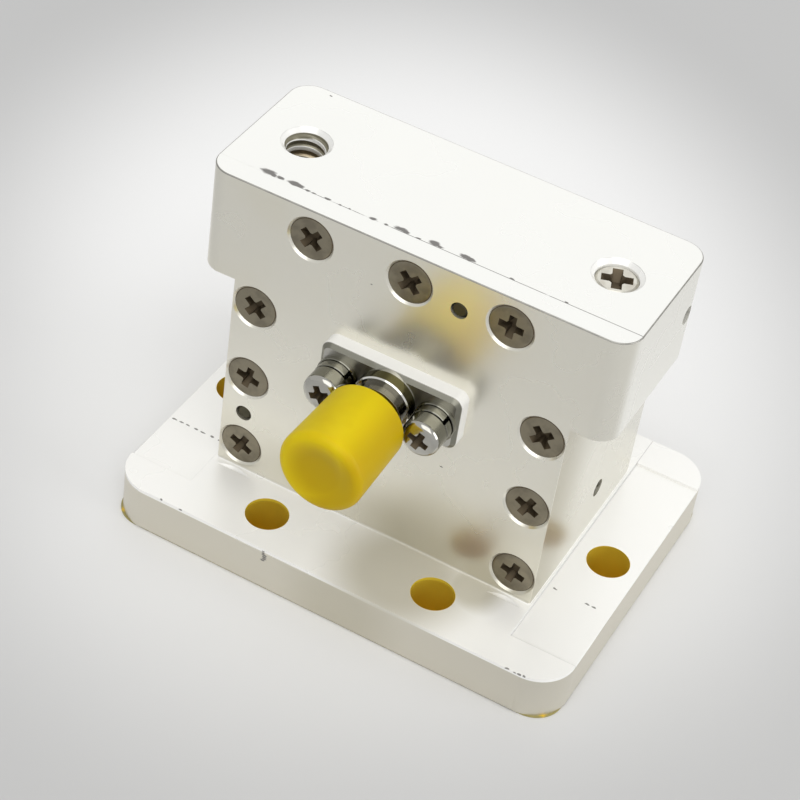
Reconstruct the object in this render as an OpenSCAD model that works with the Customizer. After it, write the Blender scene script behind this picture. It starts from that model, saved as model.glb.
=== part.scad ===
// Right-angle waveguide to coaxial adapter, split-block type, standing on its flange.
// Origin: centre of the underside that it stands on. +X right, +Y back, +Z up, millimetres.

/* [Flange] */
// Width of the flange
flange_w = 53.4; // [50:0.1:60]
// Depth of the flange, front to back
flange_d = 40.2; // [39:0.1:46]
// Thickness of the flange
flange_t = 5.4; // [4:0.1:8]
// Corner radius of the flange
flange_corner_r = 4.3; // [2:0.1:6]
// Diameter of the clearance holes in the flange
flange_hole_d = 4.7; // [4:0.1:5.2]
// Distance from the flange's side edges to the side holes
side_hole_inset = 3.6; // [3.2:0.1:4.1]
// Distance between the two holes of a row
row_hole_pitch = 20; // [16:0.1:24]
// Distance from the flange's front and back edges to the rows
row_hole_inset = 4.75; // [4:0.05:5.2]
// Tapping diameter of the blind back row
back_hole_d = 3.3; // [2.5:0.1:4]
// Depth of the blind back row from the mating face
back_hole_depth = 5.2; // [4:0.1:6]
// Depth of the milled relief beside the body
relief_depth = 0.3; // [0.1:0.05:0.6]
// Length of the milled relief
relief_len = 31.4; // [20:0.1:33]
// Distance from the body's side to the relief
relief_inset = 0.3; // [0.1:0.1:0.6]

/* [Body] */
// Width of the body below the head
body_w = 38; // [37:0.1:40]
// Depth of the body from its front face
body_d = 28; // [26:0.1:29]
// Radius of the body's back edges
body_back_r = 4; // [1:0.1:6]
// Distance from the flange's front edge to the body's front face
front_reach = 9.3; // [8.8:0.1:9.8]
// Width of the head
head_w = 46.7; // [44:0.1:50]
// Depth of the head from the front face
head_d = 18.8; // [16:0.1:22]
// Height of the head
head_h = 12.4; // [10:0.1:15]
// Height of the head's underside over the flange
head_rise = 24.5; // [24:0.1:28]
// Radius of the head's upright edges
head_corner_r = 2.5; // [1:0.1:4]
// Thickness of the front cover at the split
cover_t = 2.5; // [2.2:0.1:3]

/* [Waveguide] */
// Broad inside width of the channel
guide_a = 22.86; // [20:0.01:24]
// Narrow inside height of the channel
guide_b = 10.16; // [8:0.01:11]
// Distance from the probe axis to the closed end
backshort = 5.6; // [4:0.1:6.5]
// Height of the coaxial axis over the flange
port_rise = 20.3; // [18:0.1:20.8]
// Distance of the coaxial axis to the right of the middle
port_shift = 0.4; // [-0.6:0.1:0.6]
// Gap between the cover's land and the channel
land_gap = 0.04; // [0.02:0.01:0.1]

/* [Cover screws] */
// Diameter of the screw thread
cover_screw_d = 2.5; // [2:0.1:3]
// Diameter of the countersunk head
cover_head_d = 4.9; // [4.4:0.1:5.1]
// Height of the countersunk head
cover_head_h = 1.3; // [1:0.1:1.5]
// Length of the screw under the head's face
cover_screw_len = 8; // [6:0.5:12]
// Distance between the left and right columns
column_pitch = 32.8; // [32:0.1:32.9]
// Height of the lowest screw of a column over the flange
column_rise = 3; // [2.8:0.1:4]
// Distance between the screws of a column
column_step = 9.5; // [7:0.1:9.6]
// Distance of the top row below the head's top
top_row_drop = 3.5; // [3:0.1:5]
// Distance between the screws of the top row
top_row_step = 11.05; // [9:0.05:12]
// Depth that the heads are sunk below the face
head_sink = 0.15; // [0.05:0.05:0.35]
// Depth of the screw holes past the screws' tips
hole_runout = 0.5; // [0.2:0.1:1]

/* [Pins] */
// Diameter of the dowel pins
dowel_d = 1.8; // [1.5:0.1:2.5]
// Length of the dowel pins
dowel_len = 7; // [5:0.5:10]
// Depth of the dowels below the front face
dowel_sink = 0.1; // [0.1:0.1:1]
// Place of the upper dowel to the right of the middle
upper_dowel_x = 5.6; // [5:0.1:6]
// Distance of the upper dowel below the head's top
upper_dowel_drop = 4.1; // [3.5:0.1:5]
// Height of the lower dowel over the flange
lower_dowel_rise = 7.6; // [7.4:0.1:8.2]
// Diameter of the plug pins in the right side
side_pin_d = 2; // [1.5:0.1:2.5]
// Length of the plug pins
side_pin_len = 5; // [3:0.5:6]
// Depth of the plug pins below the side
side_pin_sink = 0.15; // [0.05:0.05:0.5]
// Height of the lower plug pin over the flange
low_pin_rise = 5.4; // [4:0.1:8]
// Distance of the lower plug pin from the front face
low_pin_back = 14.5; // [12:0.1:18]
// Distance of the upper plug pin below the head's top
high_pin_drop = 6.3; // [5:0.1:8]
// Distance of the upper plug pin from the head's back
high_pin_inset = 3; // [2:0.1:4]

/* [Top holes] */
// Minor diameter of the tapped holes in the top
top_hole_d = 4.5; // [4:0.1:5]
// Depth of the tapped holes
top_hole_depth = 10; // [6:0.5:11]
// Diameter of the chamfer at the mouth
top_chamfer_d = 5.4; // [5.2:0.1:6.2]
// Distance between the tapped holes
top_hole_pitch = 34.8; // [32:0.1:36]
// Distance of the tapped holes from the front face
top_hole_back = 9.5; // [7:0.1:11]
// Length of the screw that plugs the right hole
plug_len = 7; // [4:0.5:8]
// Depth of the plug screw below the top
plug_sink = 0.5; // [0.4:0.1:2]

/* [Coaxial connector] */
// Length of the connector's mounting plate
plate_l = 15.9; // [15.6:0.1:17]
// Height of the mounting plate
plate_h = 6.6; // [6.4:0.1:8]
// Thickness of the mounting plate
plate_t = 2; // [1.5:0.1:2.5]
// Corner radius of the mounting plate
plate_corner_r = 1.1; // [0.5:0.1:2]
// Width of the chamfer round the plate's face
plate_chamfer = 0.45; // [0.1:0.05:0.6]
// Distance between the plate's screws
plate_hole_pitch = 11.2; // [11.1:0.1:12.4]
// Diameter of the shoulder on the plate
shoulder_d = 6.5; // [6.4:0.1:6.6]
// Length of the shoulder
shoulder_l = 1.4; // [1:0.1:2]
// Outside diameter of the threaded barrel
barrel_d = 6.35; // [6:0.05:6.4]
// Length of the barrel in front of the plate
barrel_l = 10.6; // [9:0.1:11.2]
// Diameter of the relief behind the barrel's thread
barrel_relief_d = 5.4; // [5:0.1:5.8]
// Length of the barrel's relief
barrel_relief_l = 1; // [0.6:0.1:1.4]
// Inside diameter of the barrel's mouth
mouth_d = 4.6; // [4.4:0.1:4.8]
// Depth of the barrel's mouth
mouth_depth = 1.9; // [1:0.1:2.5]
// Diameter of the insulator
insulator_d = 4.1; // [3.8:0.1:4.2]
// Diameter of the contact
contact_d = 1.27; // [1:0.01:1.4]
// Diameter of the socket in the contact's end
socket_d = 0.94; // [0.8:0.01:0.98]
// Depth of the socket
socket_depth = 2.6; // [2:0.1:3]
// Diameter of the probe in the channel
probe_d = 3; // [2:0.1:4]
// Length of the probe
probe_l = 5.2; // [4:0.1:6]
// Distance of the probe from the channel's wall
probe_stand = 0.6; // [0.3:0.1:1]
// Depth that the contact reaches into the probe
probe_grip = 3; // [2:0.1:3.5]

/* [Connector screws] */
// Diameter of the plate's screws
plate_screw_d = 2.5; // [2:0.1:2.6]
// Length of the plate's screws under the head
plate_screw_len = 8; // [6:0.5:8.5]
// Diameter of the screws' heads
plate_head_d = 4.4; // [4.2:0.1:4.6]
// Height of the screws' heads
plate_head_h = 2.3; // [1.6:0.1:2.4]
// Outside diameter of the spring washers
spring_washer_d = 4.2; // [4:0.1:4.6]
// Thickness of the spring washers
spring_washer_t = 1.1; // [0.5:0.1:1.2]
// Width of the slit in the spring washers
spring_slit = 0.4; // [0.3:0.1:0.8]
// Outside diameter of the flat washers
flat_washer_d = 4.5; // [4.4:0.1:4.6]
// Thickness of the flat washers
flat_washer_t = 0.5; // [0.3:0.1:0.6]
// Width of a cross recess
cross_w = 0.75; // [0.5:0.05:0.9]
// Depth of a cross recess
cross_depth = 0.9; // [0.5:0.1:1]
// Span of a cross recess as a share of its head
cross_share = 0.62; // [0.5:0.01:0.7]

/* [Dust cap and film] */
// Diameter of the cap at its open end
cap_mouth_d = 8.7; // [8:0.1:9.2]
// Diameter of the cap at its closed end
cap_end_d = 9.2; // [8.8:0.1:10.4]
// Length of the cap
cap_l = 9.4; // [8.8:0.1:11]
// Distance of the cap's open end from the plate
cap_stand = 4.3; // [4.2:0.1:4.6]
// Thickness of the cap's closed end
cap_end_t = 2.2; // [1.8:0.1:3]
// Radius of the cap's outer end edge
cap_edge_r = 0.9; // [0.5:0.1:1.2]
// Width of the flat rim round the dish in the cap's end
cap_rim = 0.3; // [0.1:0.1:0.6]
// Width of the dish's sloping side
cap_slope = 1.6; // [1:0.1:2]
// Depth of the dish
cap_dish = 0.5; // [0.2:0.1:0.8]
// Thickness of the film under the flange
film_t = 0.15; // [0.1:0.05:0.3]
// Distance of the film's edge inside the flange's edge
film_inset = 0.15; // [0:0.05:1]
// Corner radius of the film
film_corner_r = 3.2; // [1:0.1:4]

/* [Fits] */
// Radial clearance of pins and screws in their holes
fit_gap = 0.03; // [0.02:0.01:0.06]
// Radial clearance of the cap on the barrel
cap_gap = 0.06; // [0.03:0.01:0.1]

/* [Hidden] */
$fn = 64;
// Overlap of a cutter past the face that it opens
cut = 1;
// Levels, from the underside up
flange_top = film_t + flange_t;
head_bottom = flange_top + head_rise;
head_top = head_bottom + head_h;
port_z = flange_top + port_rise;
guide_top = port_z + backshort;
total_h = head_top + cut;
// Planes, from the front to the back
front_y = -flange_d / 2 + front_reach;
split_y = front_y + cover_t;
guide_front_y = -guide_b / 2;
body_back_y = front_y + body_d;
head_back_y = front_y + head_d;
land_t = guide_front_y - split_y;
// Places of the flange's holes
side_hole_x = flange_w / 2 - side_hole_inset;
row_hole_y = flange_d / 2 - row_hole_inset;
// Places of the fasteners, as [x, z] on the front face
column_heights = [for (i = [0:2]) flange_top + column_rise + i * column_step];
cover_screw_places = concat(
    [for (side = [-1, 1], z = column_heights) [side * column_pitch / 2, z]],
    [for (i = [-1:1]) [i * top_row_step, head_top - top_row_drop]]);
dowel_places = [[upper_dowel_x, head_top - upper_dowel_drop],
                [-column_pitch / 2, flange_top + lower_dowel_rise]];
port_place = [port_shift, port_z];
plate_screw_places = [for (side = [-1, 1]) [port_shift + side * plate_hole_pitch / 2, port_z]];
// Places of the plug pins, as [x, y, z] on the right faces
side_pin_places = [[body_w / 2, front_y + low_pin_back, flange_top + low_pin_rise],
                   [head_w / 2, head_back_y - high_pin_inset, head_top - high_pin_drop]];
top_hole_y = front_y + top_hole_back;
// Screw stack on the connector's plate
plate_stack = plate_t + flat_washer_t + spring_washer_t;
plate_hole_depth = plate_screw_len - plate_stack + fit_gap;
cap_bore_d = barrel_d + 2 * cap_gap;
cap_bore_depth = cap_l - cap_end_t;
cap_dish_r = cap_end_d / 2 - cap_edge_r - cap_rim;
cap_floor_r = cap_dish_r - cap_slope;
silver = [0.90, 0.90, 0.87];
steel = [0.55, 0.53, 0.49];
bright_steel = [0.72, 0.72, 0.70];
gold = [0.86, 0.68, 0.30];
yellow = [0.86, 0.76, 0.12];

// Stands children on the front face at [x, z], with their Z pointing out of the face
module on_front(place, depth = 0) {
    translate([place[0], front_y + depth, place[1]]) rotate([90, 0, 0]) children();
}

// Stands children on a right face, with their Z pointing out of the face
module on_right(place) {
    translate(place) rotate([0, 90, 0]) children();
}

// Rectangle with round corners, centred in x and standing on y = 0
module round_plate(w, d, r) {
    translate([-w / 2, r]) square([w, d - 2 * r]);
    translate([-w / 2 + r, 0]) square([w - 2 * r, d]);
    for (x = [-1, 1], y = [r, d - r]) translate([x * (w / 2 - r), y]) circle(r);
}

// Outline of the body: square in front, round at the back edges
module body_outline() {
    translate([-body_w / 2, front_y]) square([body_w, body_d - body_back_r]);
    translate([-body_w / 2 + body_back_r, front_y]) square([body_w - 2 * body_back_r, body_d]);
    for (side = [-1, 1])
        translate([side * (body_w / 2 - body_back_r), body_back_y - body_back_r]) circle(body_back_r);
}

// The whole block before it is split: flange, body and overhanging head
module whole_block() {
    translate([0, -flange_d / 2, film_t])
        linear_extrude(flange_t) round_plate(flange_w, flange_d, flange_corner_r);
    translate([0, 0, film_t]) linear_extrude(head_bottom - film_t) body_outline();
    translate([0, front_y, head_bottom]) linear_extrude(head_h) round_plate(head_w, head_d, head_corner_r);
}

// Everything in front of the split
module front_half_space() {
    translate([-flange_w, -2 * flange_d + split_y, -cut]) cube([2 * flange_w, 2 * flange_d, 2 * total_h]);
}

// Clearance holes and reliefs that the flange's two halves share
module flange_cuts() {
    for (side = [-1, 1]) {
        translate([side * side_hole_x, 0, -cut]) cylinder(d = flange_hole_d, h = flange_top + 2 * cut);
        translate([side * row_hole_pitch / 2, -row_hole_y, -cut])
            cylinder(d = flange_hole_d, h = flange_top + 2 * cut);
        translate([side > 0 ? body_w / 2 + relief_inset : -flange_w / 2 - cut, -relief_len / 2,
                   flange_top - relief_depth])
            cube([(flange_w - body_w) / 2 - relief_inset + cut, relief_len, relief_depth + cut]);
    }
}

// A countersunk screw, its face at z = 0; grow and extra make the hole that takes it
module countersunk(grow = 0, extra = 0) {
    translate([0, 0, -cover_screw_len - extra])
        cylinder(d = cover_screw_d + 2 * grow, h = cover_screw_len + extra - cover_head_h / 2);
    translate([0, 0, -cover_head_h])
        cylinder(d1 = cover_screw_d + 2 * grow, d2 = cover_head_d + 2 * grow, h = cover_head_h);
}

// A cross recess, open at z = 0
module cross_recess(head_d) {
    for (turn = [0, 90]) rotate(turn)
        translate([-head_d * cross_share / 2, -cross_w / 2, -cross_depth])
            cube([head_d * cross_share, cross_w, cross_depth + cut]);
}

// Holes for the cover's screws and dowels, cut through both halves
module cover_holes() {
    for (place = cover_screw_places) on_front(place, head_sink) {
        countersunk(fit_gap, hole_runout);
        cylinder(d1 = cover_head_d + 2 * fit_gap, d2 = cover_head_d + 2 * (fit_gap + head_sink + cut),
                 h = head_sink + cut);
    }
    for (place = dowel_places) on_front(place, dowel_sink + dowel_len + fit_gap)
        cylinder(d = dowel_d + 2 * fit_gap, h = dowel_sink + dowel_len + fit_gap + cut);
}

module main_block() {
    color(silver) difference() {
        difference() {
            whole_block();
            front_half_space();
        }
        flange_cuts();
        cover_holes();
        // Waveguide channel, open at the mating face and towards the cover
        translate([-guide_a / 2, split_y - cut, -cut])
            cube([guide_a, guide_b / 2 - split_y + cut, guide_top + cut]);
        for (side = [-1, 1]) {
            translate([side * row_hole_pitch / 2, row_hole_y, -cut])
                cylinder(d = back_hole_d, h = film_t + back_hole_depth + cut);
            translate([side * top_hole_pitch / 2, top_hole_y, head_top - top_hole_depth]) {
                cylinder(d = top_hole_d, h = top_hole_depth + cut);
                translate([0, 0, top_hole_depth - (top_chamfer_d - top_hole_d) / 2])
                    cylinder(d1 = top_hole_d, d2 = top_chamfer_d + 2 * cut,
                             h = (top_chamfer_d - top_hole_d) / 2 + cut);
            }
        }
        for (place = side_pin_places) on_right(place)
            translate([0, 0, -side_pin_sink - side_pin_len - fit_gap])
                cylinder(d = side_pin_d + 2 * fit_gap, h = side_pin_sink + side_pin_len + fit_gap + cut);
    }
}

module front_cover() {
    color(silver) difference() {
        union() {
            intersection() {
                whole_block();
                front_half_space();
            }
            // Land that closes the channel and forms its front wall
            translate([-guide_a / 2 + land_gap, split_y - cover_t / 2, film_t])
                cube([guide_a - 2 * land_gap, land_t + cover_t / 2, guide_top - land_gap - film_t]);
        }
        flange_cuts();
        cover_holes();
        on_front(port_place, cover_t + land_t + cut)
            cylinder(d = insulator_d + 2 * fit_gap, h = cover_t + land_t + 2 * cut);
        for (place = plate_screw_places) on_front(place, plate_hole_depth)
            cylinder(d = plate_screw_d + 2 * fit_gap, h = plate_hole_depth + cut);
    }
}

module cover_screws() {
    color(steel) for (place = cover_screw_places) on_front(place, head_sink) difference() {
        countersunk();
        cross_recess(cover_head_d);
    }
}

module dowel_pins() {
    color(steel) for (place = dowel_places) on_front(place, dowel_sink + dowel_len)
        cylinder(d = dowel_d, h = dowel_len);
}

module side_pins() {
    color(steel) for (place = side_pin_places) on_right(place)
        translate([0, 0, -side_pin_sink - side_pin_len]) cylinder(d = side_pin_d, h = side_pin_len);
}

module top_plug_screw() {
    plug_d = top_hole_d - 2 * fit_gap;
    color(bright_steel)
        translate([top_hole_pitch / 2, top_hole_y, head_top - plug_sink]) difference() {
            translate([0, 0, -plug_len]) cylinder(d = plug_d, h = plug_len);
            cross_recess(plug_d);
        }
}

// Plate, shoulder and threaded barrel, turned and milled from one bar
module coax_shell() {
    relief_end = shoulder_l + barrel_relief_l;
    color(bright_steel) on_front(port_place) difference() {
        union() {
            translate([0, -plate_h / 2, 0])
                linear_extrude(plate_t - plate_chamfer) round_plate(plate_l, plate_h, plate_corner_r);
            translate([0, -plate_h / 2 + plate_chamfer, 0]) linear_extrude(plate_t)
                round_plate(plate_l - 2 * plate_chamfer, plate_h - 2 * plate_chamfer, plate_corner_r);
            translate([0, 0, plate_t / 2]) cylinder(d = shoulder_d, h = plate_t / 2 + shoulder_l);
            translate([0, 0, plate_t]) cylinder(d = barrel_relief_d, h = relief_end);
            translate([0, 0, plate_t + relief_end]) cylinder(d = barrel_d, h = barrel_l - relief_end);
        }
        translate([0, 0, -cut]) cylinder(d = insulator_d + 2 * fit_gap, h = plate_t + barrel_l + 2 * cut);
        translate([0, 0, plate_t + barrel_l - mouth_depth]) cylinder(d = mouth_d, h = mouth_depth + cut);
        for (side = [-1, 1]) translate([side * plate_hole_pitch / 2, 0, -cut])
            cylinder(d = plate_screw_d + 2 * fit_gap, h = plate_t + 2 * cut);
    }
}

// Insulator from the barrel's mouth to the channel's wall
module coax_insulator() {
    color("white") on_front(port_place, cover_t + land_t) difference() {
        cylinder(d = insulator_d, h = cover_t + land_t + plate_t + barrel_l - mouth_depth);
        translate([0, 0, -cut])
            cylinder(d = contact_d + 2 * fit_gap, h = cover_t + land_t + plate_t + barrel_l + 2 * cut);
    }
}

// Centre contact with a socket in front and a tail that carries the probe
module center_contact() {
    tail = cover_t + land_t + probe_stand + probe_grip;
    contact_l = tail + plate_t + barrel_l - mouth_depth;
    color(gold) on_front(port_place, tail) difference() {
        cylinder(d = contact_d, h = contact_l);
        translate([0, 0, contact_l - socket_depth]) cylinder(d = socket_d, h = socket_depth + cut);
    }
}

// Probe sleeve on the contact's tail, standing in the channel
module launch_probe() {
    color(gold) on_front(port_place, cover_t + land_t + probe_stand + probe_l) difference() {
        cylinder(d = probe_d, h = probe_l);
        translate([0, 0, probe_l - probe_grip])
            cylinder(d = contact_d + 2 * fit_gap, h = probe_grip + cut);
    }
}

module connector_screws() {
    color(bright_steel) for (place = plate_screw_places) on_front(place, -plate_stack) difference() {
        union() {
            translate([0, 0, -plate_screw_len])
                cylinder(d = plate_screw_d, h = plate_screw_len + plate_head_h / 2);
            cylinder(d = plate_head_d, h = plate_head_h);
        }
        translate([0, 0, plate_head_h]) cross_recess(plate_head_d);
    }
}

// A washer round the plate's screws
module washer(d, t) {
    difference() {
        cylinder(d = d, h = t);
        translate([0, 0, -cut]) cylinder(d = plate_screw_d + 2 * fit_gap, h = t + 2 * cut);
    }
}

module spring_washers() {
    color(steel) for (place = plate_screw_places) on_front(place, -plate_t - flat_washer_t) difference() {
        washer(spring_washer_d, spring_washer_t);
        rotate(45) translate([0, -spring_slit / 2, -cut])
            cube([spring_washer_d, spring_slit, spring_washer_t + 2 * cut]);
    }
}

module flat_washers() {
    color(bright_steel) for (place = plate_screw_places) on_front(place, -plate_t)
        washer(flat_washer_d, flat_washer_t);
}

// Push-on cap, wider at its closed end, with a round edge and a dished face
module dust_cap() {
    edge_x = cap_end_d / 2 - cap_edge_r;
    edge = [for (a = [0:15:90]) [edge_x + cap_edge_r * cos(a), cap_l - cap_edge_r + cap_edge_r * sin(a)]];
    dish = [[cap_dish_r, cap_l], [cap_floor_r, cap_l - cap_dish], [0, cap_l - cap_dish]];
    color(yellow) on_front(port_place, -plate_t - cap_stand) difference() {
        rotate_extrude() polygon(concat([[0, 0], [cap_mouth_d / 2, 0]], edge, dish));
        translate([0, 0, -cut]) cylinder(d = cap_bore_d, h = cap_bore_depth + cut);
    }
}

// Thin film left on the mating face, cut squarer than the flange's corners
module protective_film() {
    color(yellow) translate([0, -flange_d / 2 + film_inset, 0]) linear_extrude(film_t)
        round_plate(flange_w - 2 * film_inset, flange_d - 2 * film_inset, film_corner_r);
}

main_block();
front_cover();
cover_screws();
dowel_pins();
side_pins();
top_plug_screw();
coax_shell();
coax_insulator();
center_contact();
launch_probe();
connector_screws();
spring_washers();
flat_washers();
dust_cap();
protective_film();
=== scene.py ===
"""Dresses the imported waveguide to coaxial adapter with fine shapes, finishes, floor, light and camera."""
import logging
import math
from dataclasses import dataclass
from enum import Enum
from typing import Any, Optional, Sequence, Union

import bmesh
import bpy
from mathutils import Matrix, Vector


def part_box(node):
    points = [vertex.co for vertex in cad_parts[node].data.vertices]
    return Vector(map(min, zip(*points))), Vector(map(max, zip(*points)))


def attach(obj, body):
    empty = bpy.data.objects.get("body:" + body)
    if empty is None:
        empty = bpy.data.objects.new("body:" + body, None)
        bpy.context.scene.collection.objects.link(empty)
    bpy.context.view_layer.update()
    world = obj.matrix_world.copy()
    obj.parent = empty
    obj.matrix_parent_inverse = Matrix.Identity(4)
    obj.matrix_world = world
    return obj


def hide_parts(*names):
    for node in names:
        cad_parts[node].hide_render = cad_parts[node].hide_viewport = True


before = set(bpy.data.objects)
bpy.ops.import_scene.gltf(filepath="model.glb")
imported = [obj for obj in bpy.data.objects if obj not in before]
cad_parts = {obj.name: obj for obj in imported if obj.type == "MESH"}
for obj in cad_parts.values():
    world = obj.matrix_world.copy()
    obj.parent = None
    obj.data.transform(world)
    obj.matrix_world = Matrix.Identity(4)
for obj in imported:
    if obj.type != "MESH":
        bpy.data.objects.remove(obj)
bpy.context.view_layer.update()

LOG = logging.getLogger("adapter")
MM = 0.001
NEAR = 1e-3
# Levels of the block in millimetres, which its shapes and its finish share.
HEAD_TOP = 42.45
FLANGE_TOP = 5.55
SEAM = -8.3
FRONT = -10.8
Number = Union[int, float]
Colour = tuple[float, float, float]
Span = tuple[float, float]
Profile = Sequence[tuple[float, float]]


class Body(Enum):
    """The bodies that pieces ride on."""

    ADAPTER = "adapter"
    CAP = "cap"


class Slot(Enum):
    """The record's material slots, one passed with each new piece."""

    BLOCK = "block"
    SCREW = "screw"
    BRIGHT = "bright"
    CAP = "cap"


class Wire:
    """A value socket whose arithmetic adds Math nodes."""

    def __init__(self, shade: "Shade", socket: bpy.types.NodeSocket) -> None:
        """Keeps the socket and the material that it belongs to.

        Args:
            shade: The material being wired.
            socket: The output socket.
        """
        self.shade = shade
        self.socket = socket

    def __add__(self, other: "Operand") -> "Wire":
        """Adds."""
        return self.shade.math("ADD", self, other)

    __radd__ = __add__

    def __sub__(self, other: "Operand") -> "Wire":
        """Subtracts."""
        return self.shade.math("SUBTRACT", self, other)

    def __rsub__(self, other: "Operand") -> "Wire":
        """Subtracts this wire from a number."""
        return self.shade.math("SUBTRACT", other, self)

    def __mul__(self, other: "Operand") -> "Wire":
        """Multiplies."""
        return self.shade.math("MULTIPLY", self, other)

    __rmul__ = __mul__

    def at_least(self, other: "Operand") -> "Wire":
        """Takes the larger of the two."""
        return self.shade.math("MAXIMUM", self, other)

    def absolute(self) -> "Wire":
        """Drops the sign."""
        return self.shade.math("ABSOLUTE", self, 0.0)

    def swing(self, reach: float) -> "Wire":
        """Turns a noise from 0 to 1 into a change of up to half the reach either way."""
        return (self - 0.5) * reach

    def rise(self, low: float, high: float) -> "Wire":
        """Goes smoothly from 0 at low to 1 at high, or the other way round.

        Args:
            low: Where the result is 0.
            high: Where the result is 1.

        Returns:
            A wire from 0 to 1.
        """
        flipped = low > high
        first, last = (high, low) if flipped else (low, high)
        made = self.shade.node(
            "ShaderNodeMapRange",
            {"interpolation_type": "SMOOTHSTEP"},
            {"Value": self, "From Min": first, "From Max": last},
        )
        result = Wire(self.shade, made.outputs["Result"])
        return 1.0 - result if flipped else result


Operand = Union[Wire, Number]


class Shade:
    """One procedural material, wired on Object coordinates."""

    def __init__(self, name: str) -> None:
        """Starts an empty material with a Principled shader.

        Args:
            name: The material's name.
        """
        self.material = bpy.data.materials.new(name)
        self.material.use_nodes = True
        self.tree = self.material.node_tree
        self.tree.nodes.clear()
        self.surface = self.node("ShaderNodeBsdfPrincipled")
        self.node("ShaderNodeOutputMaterial", inputs={"Surface": self.surface.outputs[0]})
        self.coords = self.node("ShaderNodeTexCoord").outputs["Object"]

    def node(
        self,
        kind: str,
        settings: Optional[dict[str, Any]] = None,
        inputs: Optional[dict[Union[str, int], Any]] = None,
    ) -> bpy.types.Node:
        """Adds a node, sets it up and feeds its sockets.

        Args:
            kind: The node's type.
            settings: The node's own settings, set before its sockets.
            inputs: Values, wires or sockets by socket name or number.

        Returns:
            The new node.
        """
        made = self.tree.nodes.new(kind)
        for key, value in (settings or {}).items():
            setattr(made, key, value)
        self.fill(made, inputs or {})
        return made

    def fill(self, node: bpy.types.Node, inputs: dict[Any, Any]) -> None:
        """Sets or links a node's sockets.

        Args:
            node: The node.
            inputs: Values, wires or sockets by socket name or number.
        """
        for key, value in inputs.items():
            if isinstance(value, Wire):
                value = value.socket
            if isinstance(value, bpy.types.NodeSocket):
                self.tree.links.new(value, node.inputs[key])
            else:
                node.inputs[key].default_value = value

    def math(self, operation: str, first: Operand, second: Operand) -> Wire:
        """Adds a Math node.

        Args:
            operation: The Math node's operation.
            first: The first value.
            second: The second value.

        Returns:
            The node's result.
        """
        made = self.node("ShaderNodeMath", {"operation": operation}, {0: first, 1: second})
        return Wire(self, made.outputs[0])

    def vector(self, operation: str, *values: Any) -> bpy.types.Node:
        """Adds a Vector Math node that takes the values in order."""
        return self.node("ShaderNodeVectorMath", {"operation": operation}, dict(enumerate(values)))

    def place(self, scale: Sequence[float] = (1, 1, 1)) -> Wire:
        """Gives the place on the piece in millimetres.

        Args:
            scale: Extra scale along each axis, for patterns that run one way.

        Returns:
            A vector wire.
        """
        made = self.node("ShaderNodeMapping", {}, {"Vector": self.coords, "Scale": [s / MM for s in scale]})
        return Wire(self, made.outputs[0])

    def axes(self, place: Wire) -> tuple[Wire, Wire, Wire]:
        """Splits a vector wire into x, y and z."""
        made = self.node("ShaderNodeSeparateXYZ", inputs={0: place})
        return Wire(self, made.outputs[0]), Wire(self, made.outputs[1]), Wire(self, made.outputs[2])

    def noise(self, place: Wire, scale: float, detail: float = 2.0, rough: float = 0.5) -> Wire:
        """Gives soft noise from 0 to 1.

        Args:
            place: Where to read the noise.
            scale: Waves in a millimetre.
            detail: Octaves.
            rough: Weight of the finer octaves.

        Returns:
            The noise's value.
        """
        made = self.node(
            "ShaderNodeTexNoise",
            {"noise_dimensions": "3D"},
            {"Vector": place, "Scale": scale, "Detail": detail, "Roughness": rough},
        )
        return Wire(self, made.outputs["Fac"])

    def shifted(self, place: Wire, scale: float, reach: float) -> Wire:
        """Shakes a place by noise, so that what is drawn there gets ragged edges.

        Args:
            place: The place to shake.
            scale: Waves in a millimetre.
            reach: Largest shift in millimetres.

        Returns:
            The shaken place.
        """
        shake = self.node("ShaderNodeTexNoise", {}, {"Vector": place, "Scale": scale, "Detail": 3.0})
        centred = self.vector("SUBTRACT", shake.outputs["Color"], (0.5, 0.5, 0.5))
        moved = self.vector("MULTIPLY_ADD", centred.outputs[0], (2 * reach,) * 3, place)
        return Wire(self, moved.outputs[0])

    def spots(self, place: Wire, marks: Sequence["Mark"]) -> Wire:
        """Gives 1 inside any of the marks and 0 outside.

        Args:
            place: Where to look, in millimetres.
            marks: The marks.

        Returns:
            A mask.
        """
        found: Optional[Wire] = None
        for mark in marks:
            far = self.vector("DISTANCE", place, (mark.x, mark.y, mark.z))
            spot = Wire(self, far.outputs["Value"]).rise(mark.radius, mark.radius * mark.core)
            found = spot if found is None else found.at_least(spot)
        return found

    def blend(self, factor: Operand, first: Any, second: Any) -> Wire:
        """Mixes two colours.

        Args:
            factor: Share of the second colour.
            first: A colour or a colour wire.
            second: A colour or a colour wire.

        Returns:
            A colour wire.
        """
        made = self.node(
            "ShaderNodeMix", {"data_type": "RGBA"}, {0: factor, 6: self.rgba(first), 7: self.rgba(second)}
        )
        return Wire(self, made.outputs[2])

    @staticmethod
    def rgba(colour: Any) -> Any:
        """Gives a plain colour its alpha and leaves a wire as it is."""
        return colour if isinstance(colour, Wire) else (*colour, 1.0)

    def bump(self, height: Wire, distance: float, strength: float = 1.0) -> None:
        """Feeds the shader's normal from a height.

        Args:
            height: The height, from 0 to 1.
            distance: How far 1 stands out, in millimetres.
            strength: Share of the effect.
        """
        made = self.node(
            "ShaderNodeBump", {}, {"Height": height, "Distance": distance * MM, "Strength": strength}
        )
        self.feed({"Normal": made.outputs[0]})

    def feed(self, inputs: dict[str, Any]) -> None:
        """Sets or links the Principled shader's sockets by name."""
        self.fill(self.surface, inputs)


@dataclass(frozen=True)
class Mark:
    """A small round mark on a surface, in millimetres."""

    x: float
    y: float
    z: float
    radius: float
    core: float = 0.55


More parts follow.
